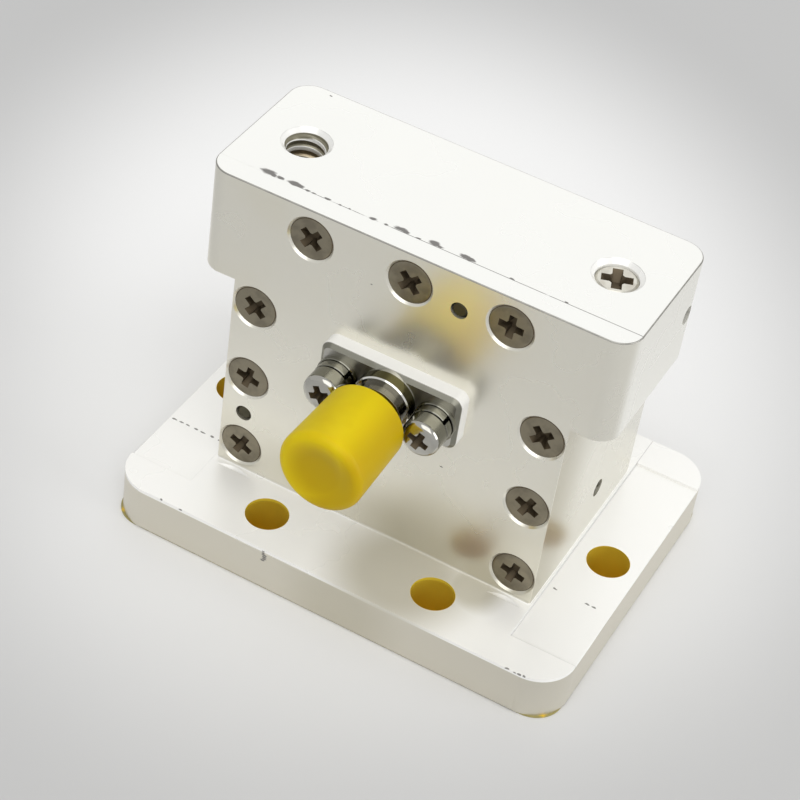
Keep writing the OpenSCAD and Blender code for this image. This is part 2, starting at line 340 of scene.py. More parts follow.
class Finish:
    """A finish that can be built as a material."""

    def material(self, name: str) -> bpy.types.Material:
        """Builds the finish.

        Args:
            name: The material's name.

        Returns:
            The material.
        """
        shade = Shade(name)
        self.wire(shade)
        return shade.material

    def wire(self, shade: Shade) -> None:
        """Wires the finish into an empty material."""
        raise NotImplementedError


class Coat:
    """A colour and its metal, built up layer by layer, with the places that its layers read."""

    def __init__(self, shade: Shade, metal: float) -> None:
        """Starts a coat that has no colour yet.

        Args:
            shade: The material being wired.
            metal: The metal before any layer.
        """
        self.shade = shade
        self.place = shade.place()
        self.flat = shade.place((1, 1, 0))
        self.x, self.y, self.z = shade.axes(self.place)
        self.tone: Any = None
        self.metal: Operand = metal

    def layer(self, mask: Wire, colour: Any, matt: float = 0.0) -> None:
        """Lays a colour over the coat.

        Args:
            mask: Where the colour goes.
            colour: The colour or a colour wire.
            matt: How much metal goes there.
        """
        self.tone = self.shade.blend(mask, self.tone, colour)
        if matt:
            self.metal = self.metal - mask * matt


@dataclass(frozen=True)
class SilverPlate(Finish):
    """Satin silver plate on a machined block, chipped along the seam and specked on the edges, with painted
    light and shade on its faces.
    """

    tone: Colour = (0.87, 0.85, 0.765)
    warm: Colour = (0.84, 0.81, 0.69)
    # Painted light: the head's top is whiter and cooler than the front.
    top: Colour = (0.88, 0.88, 0.85)
    # Painted light: whiter flange top, hole mouths and thread crests.
    shelf_highlight: Colour = (0.98, 0.975, 0.95)
    # Painted light on the head's right side, and painted shade on the body's right side.
    side: Colour = (0.95, 0.94, 0.88)
    shaded_body_side: Colour = (0.81, 0.795, 0.725)
    # Painted shade on the flange's milled walls.
    milled_and_shaded: Colour = (0.70, 0.67, 0.585)
    # Painted shade: darkens the lower front, the body's right side towards the front, a spot on the front
    # wall and two spots on the flange's top.
    dull_and_shade: Colour = (0.55, 0.52, 0.42)
    bare: Colour = (0.26, 0.25, 0.24)
    bore_tone: Colour = (0.74, 0.56, 0.05)
    # Painted shade in the thread's grooves; a lighter brown further down the open hole.
    groove_shade: Colour = (0.30, 0.28, 0.21)
    socket_deep: Colour = (0.50, 0.40, 0.26)
    gloss: float = 0.28
    metal: float = 0.8
    bore_gloss: float = 0.25
    bore_metal: float = 0.4
    side_matt: float = 0.35
    shelf_matt: float = 0.65
    mouth_matt: float = 0.6
    ridge_matt: float = 0.7
    head_top: float = HEAD_TOP
    head_foot: Span = (29.8, 30.2)
    flange_top: float = FLANGE_TOP
    relief_depth: float = 0.3
    relief: Span = (19.3, -15.7)
    relief_foot: Span = (5.0, 5.1)
    relief_along: Span = (0.06, 0.03)
    relief_across: Span = (0.16, 0.06)
    relief_shares: Span = (0.4, 0.3)
    seam: float = SEAM
    seam_width: Span = (0.055, 0.025)
    seam_gaps: Span = (0.34, 0.50)
    seam_drift: float = 0.012
    front: float = FRONT
    wall: float = -20.1
    skin: float = 0.1
    cloud_scale: float = 0.09
    cloud_span: Span = (0.45, 0.75)
    cloud_share: float = 0.5
    # Where painted shade falls on the lower front face.
    low_z: Span = (15.0, 7.5)
    low_x: Span = (-10.0, 0.0)
    low_left: float = 0.55
    low_right_x: Span = (10.0, 15.0)
    low_right_z: Span = (19.0, 13.0)
    low_right: float = 0.8
    low_share: float = 0.5
    body_x: Span = (18.9, 18.98)
    body_corner: Span = (FRONT + 0.05, FRONT + 0.2)
    head_corner: Span = (FRONT + 1.0, FRONT + 2.4)
    # A spot of deeper painted shade on the front wall, and two spots of painted shadow on the flange's top.
    worn_and_shade: tuple[float, float, float] = (2.0, 2.8, 9.0)
    wall_shade_share: float = 0.6
    shadow_spots: tuple[tuple[float, float, float], ...] = ((6.0, -14.8, 10.5), (13.0, -12.3, 4.5))
    shelf_shadow_share: float = 0.85
    bore_r: float = 2.38
    bores: tuple[Span, ...] = ((-10, -15.35), (10, -15.35), (-23.1, 0), (23.1, 0))
    socket: Span = (-17.4, -1.3)
    socket_r: float = 2.3
    crest_r: float = 2.1
    mouth_r: float = 2.8
    socket_mouth: Span = (42.02, 41.92)
    socket_floor: Span = (30.4, 30.8)
    socket_fade: Span = (40.8, 38.6)
    mouth_top: Span = (HEAD_TOP - 0.02, HEAD_TOP - 0.06)
    mouth_foot: Span = (41.5, 41.6)
    stretch: float = 0.5
    ragged_scale: float = 2.2
    ragged_reach: float = 0.2
    chip_size: float = 1.3
    speck_r: float = 0.17
    nick_r: float = 0.13
    hair_r: float = 0.15

    def wire(self, shade: Shade) -> None:
        """Wires the painted light and shade of each face, the holes and the chips.

        Args:
            shade: The material being wired.
        """
        coat = Coat(shade, self.metal)
        cloud = shade.noise(coat.place, self.cloud_scale, 3.0)
        coat.tone = shade.blend(cloud.rise(*self.cloud_span) * self.cloud_share, self.tone, self.warm)
        self.front_tone(coat)
        self.side_tone(coat)
        walls = self.flange_tone(coat)
        self.top_tone(coat)
        ragged = shade.shifted(shade.place((self.stretch, 1, 1)), self.ragged_scale, self.ragged_reach)
        marks = shade.spots(ragged, self.chips())
        chipped = marks.at_least(self.seam_line(coat)).at_least(self.relief_line(coat))
        coat.layer(chipped, self.bare)
        bored = shade.spots(coat.flat, [Mark(x, y, 0, self.bore_r, 0.99) for x, y in self.bores])
        bored = bored * coat.z.rise(self.flange_top + 3 * self.skin, self.flange_top + self.skin)
        coat.layer(bored, self.bore_tone, self.metal - self.bore_metal)
        rough = self.gloss + walls * 0.08 + cloud.swing(0.12) + chipped * 0.25
        shade.feed({
            "Base Color": coat.tone,
            "Metallic": coat.metal,
            "Roughness": rough + bored * (self.bore_gloss - self.gloss),
            "Specular IOR Level": 0.3,
        })
        shade.bump(1.0 - chipped, 0.01, 0.4)

    def front_tone(self, coat: Coat) -> None:
        """Paints shade on the lower part of the front face, more so on the right.

        Args:
            coat: The coat.
        """
        low = coat.z.rise(*self.low_z) * (self.low_left + coat.x.rise(*self.low_x) * (1 - self.low_left))
        right = coat.x.rise(*self.low_right_x) * coat.z.rise(*self.low_right_z) * self.low_right
        facing = coat.y.rise(self.front + 3 * self.skin, self.front + self.skin)
        coat.layer(low.at_least(right) * facing * self.low_share, self.dull_and_shade)

    def side_tone(self, coat: Coat) -> None:
        """Paints light on the head's right side, and shade on the body's right side that deepens towards
        its front.

        Args:
            coat: The coat.
        """
        head = coat.z.rise(*self.head_foot)
        behind = coat.y.rise(*self.body_corner) * (1.0 - head) + coat.y.rise(*self.head_corner) * head
        beside = coat.x.rise(*self.body_x) * behind
        beside = beside * coat.z.rise(self.head_top - 0.2 * self.skin, self.head_top - self.skin)
        body = coat.shade.blend(coat.y.rise(0.0, self.front), self.shaded_body_side, self.dull_and_shade)
        coat.layer(beside, coat.shade.blend(head, body, self.side))
        coat.metal = coat.metal - beside * head * self.side_matt

    def flange_tone(self, coat: Coat) -> Wire:
        """Paints shade on the flange's milled walls, deeper in a spot on the front wall, and paints light
        on its top, with two spots of painted shadow.

        Args:
            coat: The coat.

        Returns:
            A mask of the walls.
        """
        floor = self.flange_top - self.relief_depth
        walls = coat.z.rise(floor - 0.08, floor - 0.18)
        x, z, radius = self.worn_and_shade
        worn_and_shade = coat.shade.spots(coat.place, [Mark(x, self.wall, z, radius, 0.2)])
        coat.layer(walls, coat.shade.blend(worn_and_shade * self.wall_shade_share, self.milled_and_shaded, self.dull_and_shade))
        shadow_spots = [Mark(x, y, self.flange_top, r, 0.35) for x, y, r in self.shadow_spots]
        shelf_shadow = coat.shade.spots(coat.place, shadow_spots) * self.shelf_shadow_share
        shelf_highlight = coat.z.rise(floor - 0.08, floor - 0.04) * self.below_shelf(coat)
        coat.layer(shelf_highlight, coat.shade.blend(shelf_shadow, self.shelf_highlight, self.dull_and_shade), self.shelf_matt)
        return walls

    def below_shelf(self, coat: Coat) -> Wire:
        """Gives 1 up to the flange's top and 0 above it."""
        return coat.z.rise(self.flange_top + self.skin, self.flange_top + self.skin / 2)

    def top_tone(self, coat: Coat) -> None:
        """Paints light on the head's top, its holes' mouths and the thread's crests, paints shade in the
        thread's grooves, and gives the open hole a lighter brown further down.

        Args:
            coat: The coat.
        """
        spots = coat.shade.spots
        x, y = self.socket
        coat.layer(coat.z.rise(self.head_top - self.skin, self.head_top - 0.2 * self.skin), self.top)
        mouth = spots(coat.flat, [Mark(side * x, y, 0, self.mouth_r, 0.99) for side in (-1, 1)])
        mouth = mouth * coat.z.rise(*self.mouth_top) * coat.z.rise(*self.mouth_foot)
        coat.layer(mouth, self.shelf_highlight, self.mouth_matt)
        deep = coat.z.rise(*self.socket_fade)
        inside = spots(coat.flat, [Mark(x, y, 0, self.socket_r, 0.98)])
        inside = inside * coat.z.rise(*self.socket_mouth) * coat.z.rise(*self.socket_floor)
        crest = spots(coat.flat, [Mark(x, y, 0, self.crest_r, 0.97)])
        coat.layer(inside * crest * (1.0 - deep), self.shelf_highlight, self.ridge_matt)
        groove = inside * deep.at_least(1.0 - crest)
        coat.layer(groove, coat.shade.blend(deep, self.groove_shade, self.socket_deep))

    def chips(self) -> list[Mark]:
        """Lists the chips along the head's seam and the small specks.

        Returns:
            The marks, with x stretched.
        """
        along_seam = (
            (-17.82, -7.98, 0.40), (-17.3, -8.15, 0.25), (-16.38, -8.13, 0.22), (-14.9, -8.06, 0.34),
            (-14.2, -8.1, 0.25), (-13.19, -8.27, 0.13), (-12.5, -8.28, 0.12), (-11.05, -8.22, 0.18),
            (-9.55, -8.3, 0.11), (-8.45, -8.28, 0.11), (-5.87, -8.2, 0.21), (-4.47, -8.22, 0.12),
            (-2.9, -7.98, 0.32), (-2.4, -8.08, 0.25), (-0.76, -8.22, 0.12), (0.8, -7.92, 0.34),
            (1.5, -8.12, 0.2), (4.1, -7.95, 0.31), (4.7, -8.0, 0.28), (9.27, -8.25, 0.12),
            (15.16, -8.22, 0.15),
        )
        dashes = (-26.0, -25.2, -24.3, -23.3, -22.4, -21.2, -20.2)
        specks = ((20.12, -6.93), (23.94, -6.98), (24.74, -6.94))
        nicks = (
            (21.0, -20.05), (21.9, -20.1), (22.4, -20.05), (23.0, -20.05), (-20.3, -20.05), (-17.8, -20.08),
        )
        front = ((6.64, 18.23, 0.13), (-4.0, 36.9, 0.1))
        hair = ((-7.54, 5.3), (-7.5, 5.05), (-7.46, 4.8), (-7.42, 4.55), (-7.44, 4.3), (-7.5, 4.05))
        floor = self.flange_top - self.relief_depth
        spots = [(x, y, self.head_top, r * self.chip_size) for x, y, r in along_seam]
        spots += [(x, self.seam - 0.05, floor, self.speck_r) for x in dashes]
        spots += [(x, y, floor, self.speck_r) for x, y in specks]
        spots += [(x, y, self.flange_top - 0.05, self.nick_r) for x, y in nicks]
        spots += [(x, self.front, z, r) for x, z, r in front]
        spots += [(x, self.wall, z, self.hair_r) for x, z in hair]
        spots.append((-19.56, 7.2, self.head_top, 0.16))
        return [Mark(x * self.stretch, y, z, r) for x, y, z, r in spots]

    def relief_line(self, coat: Coat) -> Wire:
        """Draws the thin dark line along the step of the right relief.

        Args:
            coat: The coat.

        Returns:
            A mask.
        """
        step_x, step_y = self.relief
        soft = self.skin / 2
        along = (coat.x - step_x).absolute().rise(*self.relief_along) * coat.y.rise(step_y - soft, step_y)
        across = (coat.y - step_y).absolute().rise(*self.relief_across) * coat.x.rise(step_x - soft, step_x)
        line = (along * self.relief_shares[0]).at_least(across * self.relief_shares[1])
        return line * self.below_shelf(coat) * coat.z.rise(*self.relief_foot)

    def seam_line(self, coat: Coat) -> Wire:
        """Draws the fine dark line of the seam on the head's top, broken up on the left.

        Args:
            coat: The coat.

        Returns:
            A mask.
        """
        gaps = coat.shade.noise(coat.shade.place((0.4, 1, 1)), 1.6, 2.0) + coat.x * self.seam_drift
        line = (coat.y - self.seam).absolute().rise(*self.seam_width) * gaps.rise(*self.seam_gaps)
        return line * coat.z.rise(self.head_top - 4 * self.skin, self.head_top - 2 * self.skin)


@dataclass(frozen=True)
class ScrewSteel(Finish):
    """Grey-brown passivated steel with dirt in its hollows."""

    tone: Colour = (0.29, 0.26, 0.195)
    # The darker tone of the steel's random patches.
    dull_and_shade: Colour = (0.23, 0.205, 0.155)
    gloss: float = 0.42
    patch_scale: float = 0.7
    grain_scale: float = 6.0

    def wire(self, shade: Shade) -> None:
        """Wires a patchy tone and a fine grain.

        Args:
            shade: The material being wired.
        """
        place = shade.place()
        patch = shade.noise(place, self.patch_scale, 3.0)
        grain = shade.noise(place, self.grain_scale, 3.0, 0.6)
        shade.feed({
            "Base Color": shade.blend(patch.rise(0.4, 0.7), self.tone, self.dull_and_shade),
            "Metallic": 1.0,
            "Roughness": self.gloss + patch.swing(0.16) + grain.swing(0.1),
        })
        shade.bump(grain, 0.01, 0.5)


@dataclass(frozen=True)
class Recess(Finish):
    """The brown, dirty inside of a screw's cross recess."""

    tone: Colour = (0.075, 0.057, 0.034)
    lift: float = 1.8
    gloss: float = 0.4
    metal: float = 0.7
    patch_scale: float = 2.4

    def wire(self, shade: Shade) -> None:
        """Wires patches of lighter dirt.

        Args:
            shade: The material being wired.
        """
        patch = shade.noise(shade.place(), self.patch_scale, 2.0)
        shade.feed({
            "Base Color": shade.blend(patch, self.tone, [c * self.lift for c in self.tone]),
            "Metallic": self.metal,
            "Roughness": self.gloss + patch * 0.25,
        })


@dataclass(frozen=True)
class BrightSteel(Finish):
    """Polished stainless steel with fine turning marks, light stains and satin plate sides, and painted
    shade with a painted highlight ring on the jack's shoulder.
    """

    tone: Colour = (0.53, 0.52, 0.48)
    stain: Colour = (0.38, 0.36, 0.30)
    satin: Colour = (0.93, 0.925, 0.90)
    # Painted shade on the shoulder and in front of it, and its painted highlight ring.
    shoulder: Colour = (0.10, 0.09, 0.04)
    hollow: Colour = (0.20, 0.19, 0.155)
    ring_highlight: Colour = (0.85, 0.84, 0.80)
    gloss: float = 0.13
    patch_scale: float = 0.5
    turning: tuple[float, float, float] = (0.6, 5.0, 0.6)
    side_from: float = -12.36
    plate_front: float = -12.8
    ring_y: float = -14.2
    ring_t: float = 0.14
    shoulder_r: float = 3.4
    shoulder_y: float = -15.5
    shoulder_fade: float = 3.0

    def wire(self, shade: Shade) -> None:
        """Wires the stained steel, the painted shade and highlight of the jack's shoulder, and the plate's
        satin sides.

        Args:
            shade: The material being wired.
        """
        place = shade.place()
        patch = shade.noise(place, self.patch_scale, 3.0)
        turned = shade.noise(shade.place(self.turning), 1.2, 2.0)
        y = shade.axes(place)[1]
        side = y.rise(self.side_from, self.side_from + 0.04)
        plate = y.rise(self.plate_front - 0.04, self.plate_front - 0.01)
        stained = shade.blend(patch.rise(0.5, 0.75) * 0.6, self.tone, self.stain)
        steel = shade.blend(self.shoulder_mask(shade, y), stained, self.shoulder_tone(shade, y))
        shade.feed({
            "Base Color": shade.blend(side, steel, self.satin),
            "Metallic": 1.0 - side,
            "Roughness": self.gloss + patch.swing(0.08) + turned.swing(0.1) + side * 0.25 + plate * 0.2,
        })
        shade.bump(turned, 0.008, 0.4)

    def shoulder_mask(self, shade: Shade, y: Wire) -> Wire:
        """Marks the jack's shoulder and the start of its barrel.

        Args:
            shade: The material being wired.
            y: The place towards the back.

        Returns:
            A mask.
        """
        low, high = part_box("coax_shell")
        axis = (low + high) / (2 * MM)
        around = shade.spots(shade.place((1, 0, 1)), [Mark(axis.x, 0, axis.z, self.shoulder_r, 0.995)])
        before = y.rise(self.plate_front - 0.04, self.plate_front - 0.12)
        return around * y.rise(self.shoulder_y - self.shoulder_fade, self.shoulder_y) * before

    def shoulder_tone(self, shade: Shade, y: Wire) -> Wire:
        """Paints shade on the shoulder's side and in front of it, and a painted highlight ring at its front
        edge.

        Args:
            shade: The material being wired.
            y: The place towards the back.

        Returns:
            A colour wire.
        """
        soft = 0.01
        back = self.ring_y + self.ring_t
        dark = shade.blend(y.rise(self.ring_y, self.ring_y + 3 * soft), self.hollow, self.shoulder)
        line = y.rise(self.ring_y - soft, self.ring_y + soft) * y.rise(back + soft, back - soft)
        return shade.blend(line, dark, self.ring_highlight)


@dataclass(frozen=True)
class CapVinyl(Finish):
    """Soft translucent yellow vinyl, with painted shade in the end's dish and on the side away from the
    light.
    """

    tone: Colour = (0.76, 0.585, 0.006)
    # The deep colour of the random patches and of the painted shade.
    deep: Colour = (0.53, 0.36, 0.004)
    gloss: float = 0.42
    patch_scale: float = 0.25
    grain_scale: float = 3.0
    dish_r: float = 4.7
    lee_shade_span: Span = (-1.5, 2.8)
    lee_shade_share: float = 0.95

    def wire(self, shade: Shade) -> None:
        """Wires random deeper patches, and painted shade in the dish and on the side away from the light.

        Args:
            shade: The material being wired.
        """
        place = shade.place()
        patch = shade.noise(place, self.patch_scale, 2.0)
        grain = shade.noise(place, self.grain_scale, 2.0)
        low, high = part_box("dust_cap")
        middle = (low + high) / (2 * MM)
        dish = shade.spots(place, [Mark(middle.x, low.y / MM, middle.z, self.dish_r, 0.4)])
        x, _, z = shade.axes(place)
        lee_shade = ((x - middle.x) - (z - middle.z) * 0.5).rise(*self.lee_shade_span) * self.lee_shade_share
        deep = (patch.rise(0.3, 0.8) * 0.3).at_least(dish).at_least(lee_shade)
        shade.feed({
            "Base Color": shade.blend(deep, self.tone, self.deep),
            "Roughness": self.gloss + patch.swing(0.12),
            "Specular IOR Level": 0.14,
            "Subsurface Weight": 0.35,
            "Subsurface Radius": (1.0, 0.55, 0.08),
            "Subsurface Scale": 0.0012,
            "IOR": 1.48,
        })
        shade.bump(grain, 0.008, 0.3)


@dataclass(frozen=True)
class FilmYellow(Finish):
    """Thin yellow protective film."""

    tone: Colour = (0.88, 0.54, 0.005)
    pale: Colour = (0.90, 0.60, 0.012)
    rim: Colour = (0.34, 0.29, 0.10)
    rim_from: Span = (25.4, 18.8)
    rim_fade: float = 0.5
    gloss: float = 0.35
    patch_scale: float = 0.15
    wave_scale: float = 0.6

    def wire(self, shade: Shade) -> None:
        """Wires the film's patches, its darker rim and its slight waves.

        Args:
            shade: The material being wired.
        """
        place = shade.place()
        patch = shade.noise(place, self.patch_scale, 2.0)
        wave = shade.noise(place, self.wave_scale, 1.0)
        x, y, _ = shade.axes(place)
        ends, sides = (
            axis.absolute().rise(start, start + self.rim_fade) for axis, start in zip((x, y), self.rim_from)
        )
        film = shade.blend(patch, self.tone, self.pale)
        shade.feed({
            "Base Color": shade.blend(ends.at_least(sides), film, self.rim),
            "Roughness": self.gloss + patch.swing(0.1),
        })
        shade.bump(wave, 0.03, 0.4)


@dataclass(frozen=True)
class Insulator(Finish):
    """Waxy white fluoropolymer."""

    tone: Colour = (0.88, 0.88, 0.85)
    shadow: Colour = (0.80, 0.79, 0.74)
    gloss: float = 0.42
    patch_scale: float = 1.2

    def wire(self, shade: Shade) -> None:
        """Wires faint patches and a waxy depth.

        Args:
            shade: The material being wired.
        """
        patch = shade.noise(shade.place(), self.patch_scale, 2.0)
        shade.feed({
            "Base Color": shade.blend(patch * 0.3, self.tone, self.shadow),
            "Roughness": self.gloss + patch.swing(0.1),
            "Subsurface Weight": 0.2,
            "Subsurface Scale": 0.0005,
        })


@dataclass(frozen=True)
class GoldPlate(Finish):
    """Gold plate on the contact and the probe."""

    tone: Colour = (0.86, 0.62, 0.22)
    shadow: Colour = (0.78, 0.53, 0.16)
    gloss: float = 0.20
    turning: tuple[float, float, float] = (0.5, 6.0, 0.5)

    def wire(self, shade: Shade) -> None:
        """Wires fine turning marks.

        Args:
            shade: The material being wired.
        """
        turned = shade.noise(shade.place(self.turning), 1.5, 2.0)
        shade.feed({
            "Base Color": shade.blend(turned * 0.4, self.tone, self.shadow),
            "Metallic": 1.0,
            "Roughness": self.gloss + turned.swing(0.12),
        })
        shade.bump(turned, 0.005, 0.4)


class Shapes:
    """Small bmesh shapes in millimetres, standing on the local Z axis."""

    @staticmethod
    def spun(profile: Profile, steps: int = 64) -> bmesh.types.BMesh:
        """Turns a profile round the Z axis.

        Args:
            profile: Points as (radius, height), from axis to axis or as a closed ring.
            steps: Steps in a full turn.

        Returns:
            A closed bmesh.
        """
        made = bmesh.new()
        points = [made.verts.new((radius, 0.0, height)) for radius, height in profile]
        pairs = list(zip(points, points[1:]))
        if min(radius for radius, _ in profile) > 0:
            pairs.append((points[-1], points[0]))
        edges = [made.edges.new(pair) for pair in pairs]
        bmesh.ops.spin(
            made, geom=points + edges, cent=(0, 0, 0), axis=(0, 0, 1), dvec=(0, 0, 0),
            angle=math.tau, steps=steps, use_merge=True, use_duplicate=False,
        )
        bmesh.ops.remove_doubles(made, verts=made.verts, dist=1e-5)
        bmesh.ops.recalc_face_normals(made, faces=made.faces)
        return made

    @staticmethod
    def swept(section: Profile, turn: float, climb: float, steps: int) -> bmesh.types.BMesh:
        """Sweeps a closed section round the Z axis while it climbs, and closes both ends.

        Args:
            section: Points as (radius, height) of the closed section.
            turn: Whole turn in radians.
            climb: Whole climb in millimetres.
            steps: Steps of the sweep.

        Returns:
            A closed bmesh.
        """
        made = bmesh.new()
        points = [made.verts.new((radius, 0.0, height)) for radius, height in section]
        edges = [made.edges.new((a, b)) for a, b in zip(points, points[1:] + points[:1])]
        bmesh.ops.spin(
            made, geom=points + edges, cent=(0, 0, 0), axis=(0, 0, 1), dvec=(0, 0, climb / steps),
            angle=turn, steps=steps, use_merge=False, use_duplicate=False,
        )
        rims = [edge for edge in made.edges if edge.is_boundary]
        bmesh.ops.holes_fill(made, edges=rims, sides=len(section))
        bmesh.ops.recalc_face_normals(made, faces=made.faces)
        return made

    @staticmethod
    def thread(
        root: float, crest: float, pitch: float, length: float, flat: float = 0.14, foot: float = 0.94,
        fade: float = 0.2, steps: int = 36,
    ) -> bmesh.types.BMesh:
        """Makes a helical ridge that starts at z = 0 and runs out at its upper end.

        Args:
            root: Radius at the ridge's foot.
            crest: Radius at its tip.
            pitch: Climb of one turn.
            length: Length of the threaded part.
            flat: Share of the pitch that the flat tip takes.
            foot: Share of the pitch that the foot takes.
            fade: Turns over which the ridge runs out.
            steps: Steps of one turn.

        Returns:
            A closed bmesh.
        """
        turns = length / pitch - 1
        sink = math.copysign(0.08, root - crest)
        lap = 0.01
        least = 0.05
        middle = 0.49
        low, high = ((middle + side * foot / 2) * pitch for side in (-1, 1))
        section = (
            (root + sink, low - lap), (root, low), (crest, (middle - flat / 2) * pitch),
            (crest, (middle + flat / 2) * pitch), (root, high), (root + sink, high + lap),
        )
        made = Shapes.swept(section, math.tau * turns, pitch * turns, int(steps * turns))
        for vert in made.verts:
            if abs(vert.co.xy.length - crest) < NEAR:
                left = (turns - (vert.co.z / pitch - middle)) / fade
                radius = root + (crest - root) * min(max(left, least), 1.0)
                vert.co.xy *= radius / crest
        return made

    @staticmethod
    def arc(middle: Span, radius: float, step: int) -> list[Span]:
        """Gives the points of a quarter round, from its side to its top.

        Args:
            middle: The round's middle as (radius, height).
            radius: The round's own radius.
            step: Degrees between two points.

        Returns:
            The points as (radius, height).
        """
        angles = [math.radians(degrees) for degrees in range(0, 91, step)]
        return [(middle[0] + radius * math.cos(a), middle[1] + radius * math.sin(a)) for a in angles]

    @staticmethod
    def box(size: Sequence[float], middle: Sequence[float]) -> bmesh.types.BMesh:
        """Makes a box.

        Args:
            size: Its sides.
            middle: Its middle.

        Returns:
            A bmesh.
        """
        made = bmesh.new()
        bmesh.ops.create_cube(made, size=1.0)
        bmesh.ops.scale(made, vec=size, verts=made.verts)
        bmesh.ops.translate(made, vec=middle, verts=made.verts)
        return made

    @staticmethod
    def bevel(made: bmesh.types.BMesh, edges: list, width: float, segments: int) -> list:
        """Bevels some edges.

        Args:
            made: The bmesh.
            edges: The edges to bevel.
            width: The bevel's offset.
            segments: The bevel's segments.

        Returns:
            The bevel's faces.
        """
        return bmesh.ops.bevel(
            made, geom=edges, offset=width, offset_type="OFFSET", segments=segments, profile=0.5,
            affect="EDGES", clamp_overlap=False, material=-1,
        )["faces"]

    @staticmethod
    def cross(span: float, width: float, depth: float) -> list[bmesh.types.BMesh]:
        """Makes the cutters of a cross recess that opens at z = 0.

        Args:
            span: Width across the cross.
            width: Width of a wing.
            depth: Depth of the recess.

        Returns:
            Two tapered wings and a round core.
        """
        cutters = []
        lift = 0.3
        tip_span, tip_width = 0.45, 0.62
        core_tip, core_mouth = 0.42, 0.88
        for turn in (0.0, math.pi / 2):
            wing = Shapes.box((span, width, depth + lift), (0, 0, (lift - depth) / 2))
            for vert in wing.verts:
                if vert.co.z < 0:
                    vert.co.x *= tip_span
                    vert.co.y *= tip_width
            bmesh.ops.rotate(wing, verts=wing.verts, cent=(0, 0, 0), matrix=Matrix.Rotation(turn, 3, "Z"))
            cutters.append(wing)
        core = bmesh.new()
        bmesh.ops.create_cone(
            core, cap_ends=True, segments=20, radius1=width * core_tip, radius2=width * core_mouth,
            depth=depth + lift,
        )
        bmesh.ops.translate(core, vec=(0, 0, (lift - depth) / 2), verts=core.verts)
        cutters.append(core)
        return cutters

    @staticmethod
    def cut(whole: bmesh.types.BMesh, cutters: list[bmesh.types.BMesh]) -> bmesh.types.BMesh:
        """Cuts shapes out of a shape; the cut faces get the second material.

        Args:
            whole: The shape to cut. It is used up.
            cutters: The cutters. They are used up.

        Returns:
            The cut shape.
        """
        for cutter in cutters:
            for face in cutter.faces:
                face.material_index = 1
            objects = []
            for shape in (whole, cutter):
                mesh = bpy.data.meshes.new("cutting")
                for _ in range(2):
                    mesh.materials.append(None)
                shape.to_mesh(mesh)
                shape.free()
                objects.append(bpy.data.objects.new("cutting", mesh))
                bpy.context.scene.collection.objects.link(objects[-1])
            modifier = objects[0].modifiers.new("cut", "BOOLEAN")
            modifier.operation = "DIFFERENCE"
            modifier.solver = "EXACT"
            modifier.object = objects[1]
            ready = objects[0].evaluated_get(bpy.context.evaluated_depsgraph_get())
            whole = bmesh.new()
            whole.from_mesh(ready.to_mesh())
            ready.to_mesh_clear()
            for used in objects:
                mesh = used.data
                bpy.data.objects.remove(used)
                bpy.data.meshes.remove(mesh)
        return whole

    @staticmethod
    def gathered(parts: list[tuple[bmesh.types.BMesh, Matrix]]) -> bmesh.types.BMesh:
        """Joins shapes into one, each moved by its matrix.

        Args:
            parts: Shapes and matrices. The shapes are used up.

        Returns:
            The joined shape.
        """
        made = bmesh.new()
        for shape, matrix in parts:
            mesh = bpy.data.meshes.new("gathering")
            shape.to_mesh(mesh)
            mesh.transform(matrix)
            made.from_mesh(mesh)
            bpy.data.meshes.remove(mesh)
        for shape in {id(shape): shape for shape, _ in parts}.values():
            shape.free()
        return made


class Finishes:
    """All the finishes, built once."""

    def __init__(self) -> None:
        """Builds the materials."""
        # A darker finish for the bevels along the head's top.
        edge = ScrewSteel(tone=(0.40, 0.39, 0.36), dull_and_shade=(0.50, 0.49, 0.45), gloss=0.4)
        # Painted shade: the dowels' finish is near black, standing in for the shade in their holes; the
        # side pins take it too, all but the upper one's end.
        dowel = ScrewSteel(tone=(0.10, 0.092, 0.064), dull_and_shade=(0.078, 0.07, 0.046), gloss=0.45)
        plug = ScrewSteel(tone=(0.70, 0.68, 0.61), dull_and_shade=(0.60, 0.57, 0.50), gloss=0.36)
        shaded = BrightSteel(tone=(0.25, 0.245, 0.205), stain=(0.18, 0.172, 0.135))
        self.silver = SilverPlate().material("satin_silver_plate")
        self.edge = edge.material("dark_plate_edge")
        self.screw = ScrewSteel().material("passivated_steel")
        self.dowel = dowel.material("dowel_steel")
        self.recess = Recess().material("cross_recess_dirt")
        self.worn_and_shade = Recess(tone=(0.115, 0.09, 0.058)).material("worn_cross_recess")
        self.bright = BrightSteel().material("polished_steel")
        self.shaded = shaded.material("shaded_polished_steel")
        self.plug = plug.material("plug_steel")
        self.cap = CapVinyl().material("yellow_vinyl")
        self.film = FilmYellow().material("yellow_film")
        self.insulator = Insulator().material("white_insulator")
        self.gold = GoldPlate().material("gold_plate")


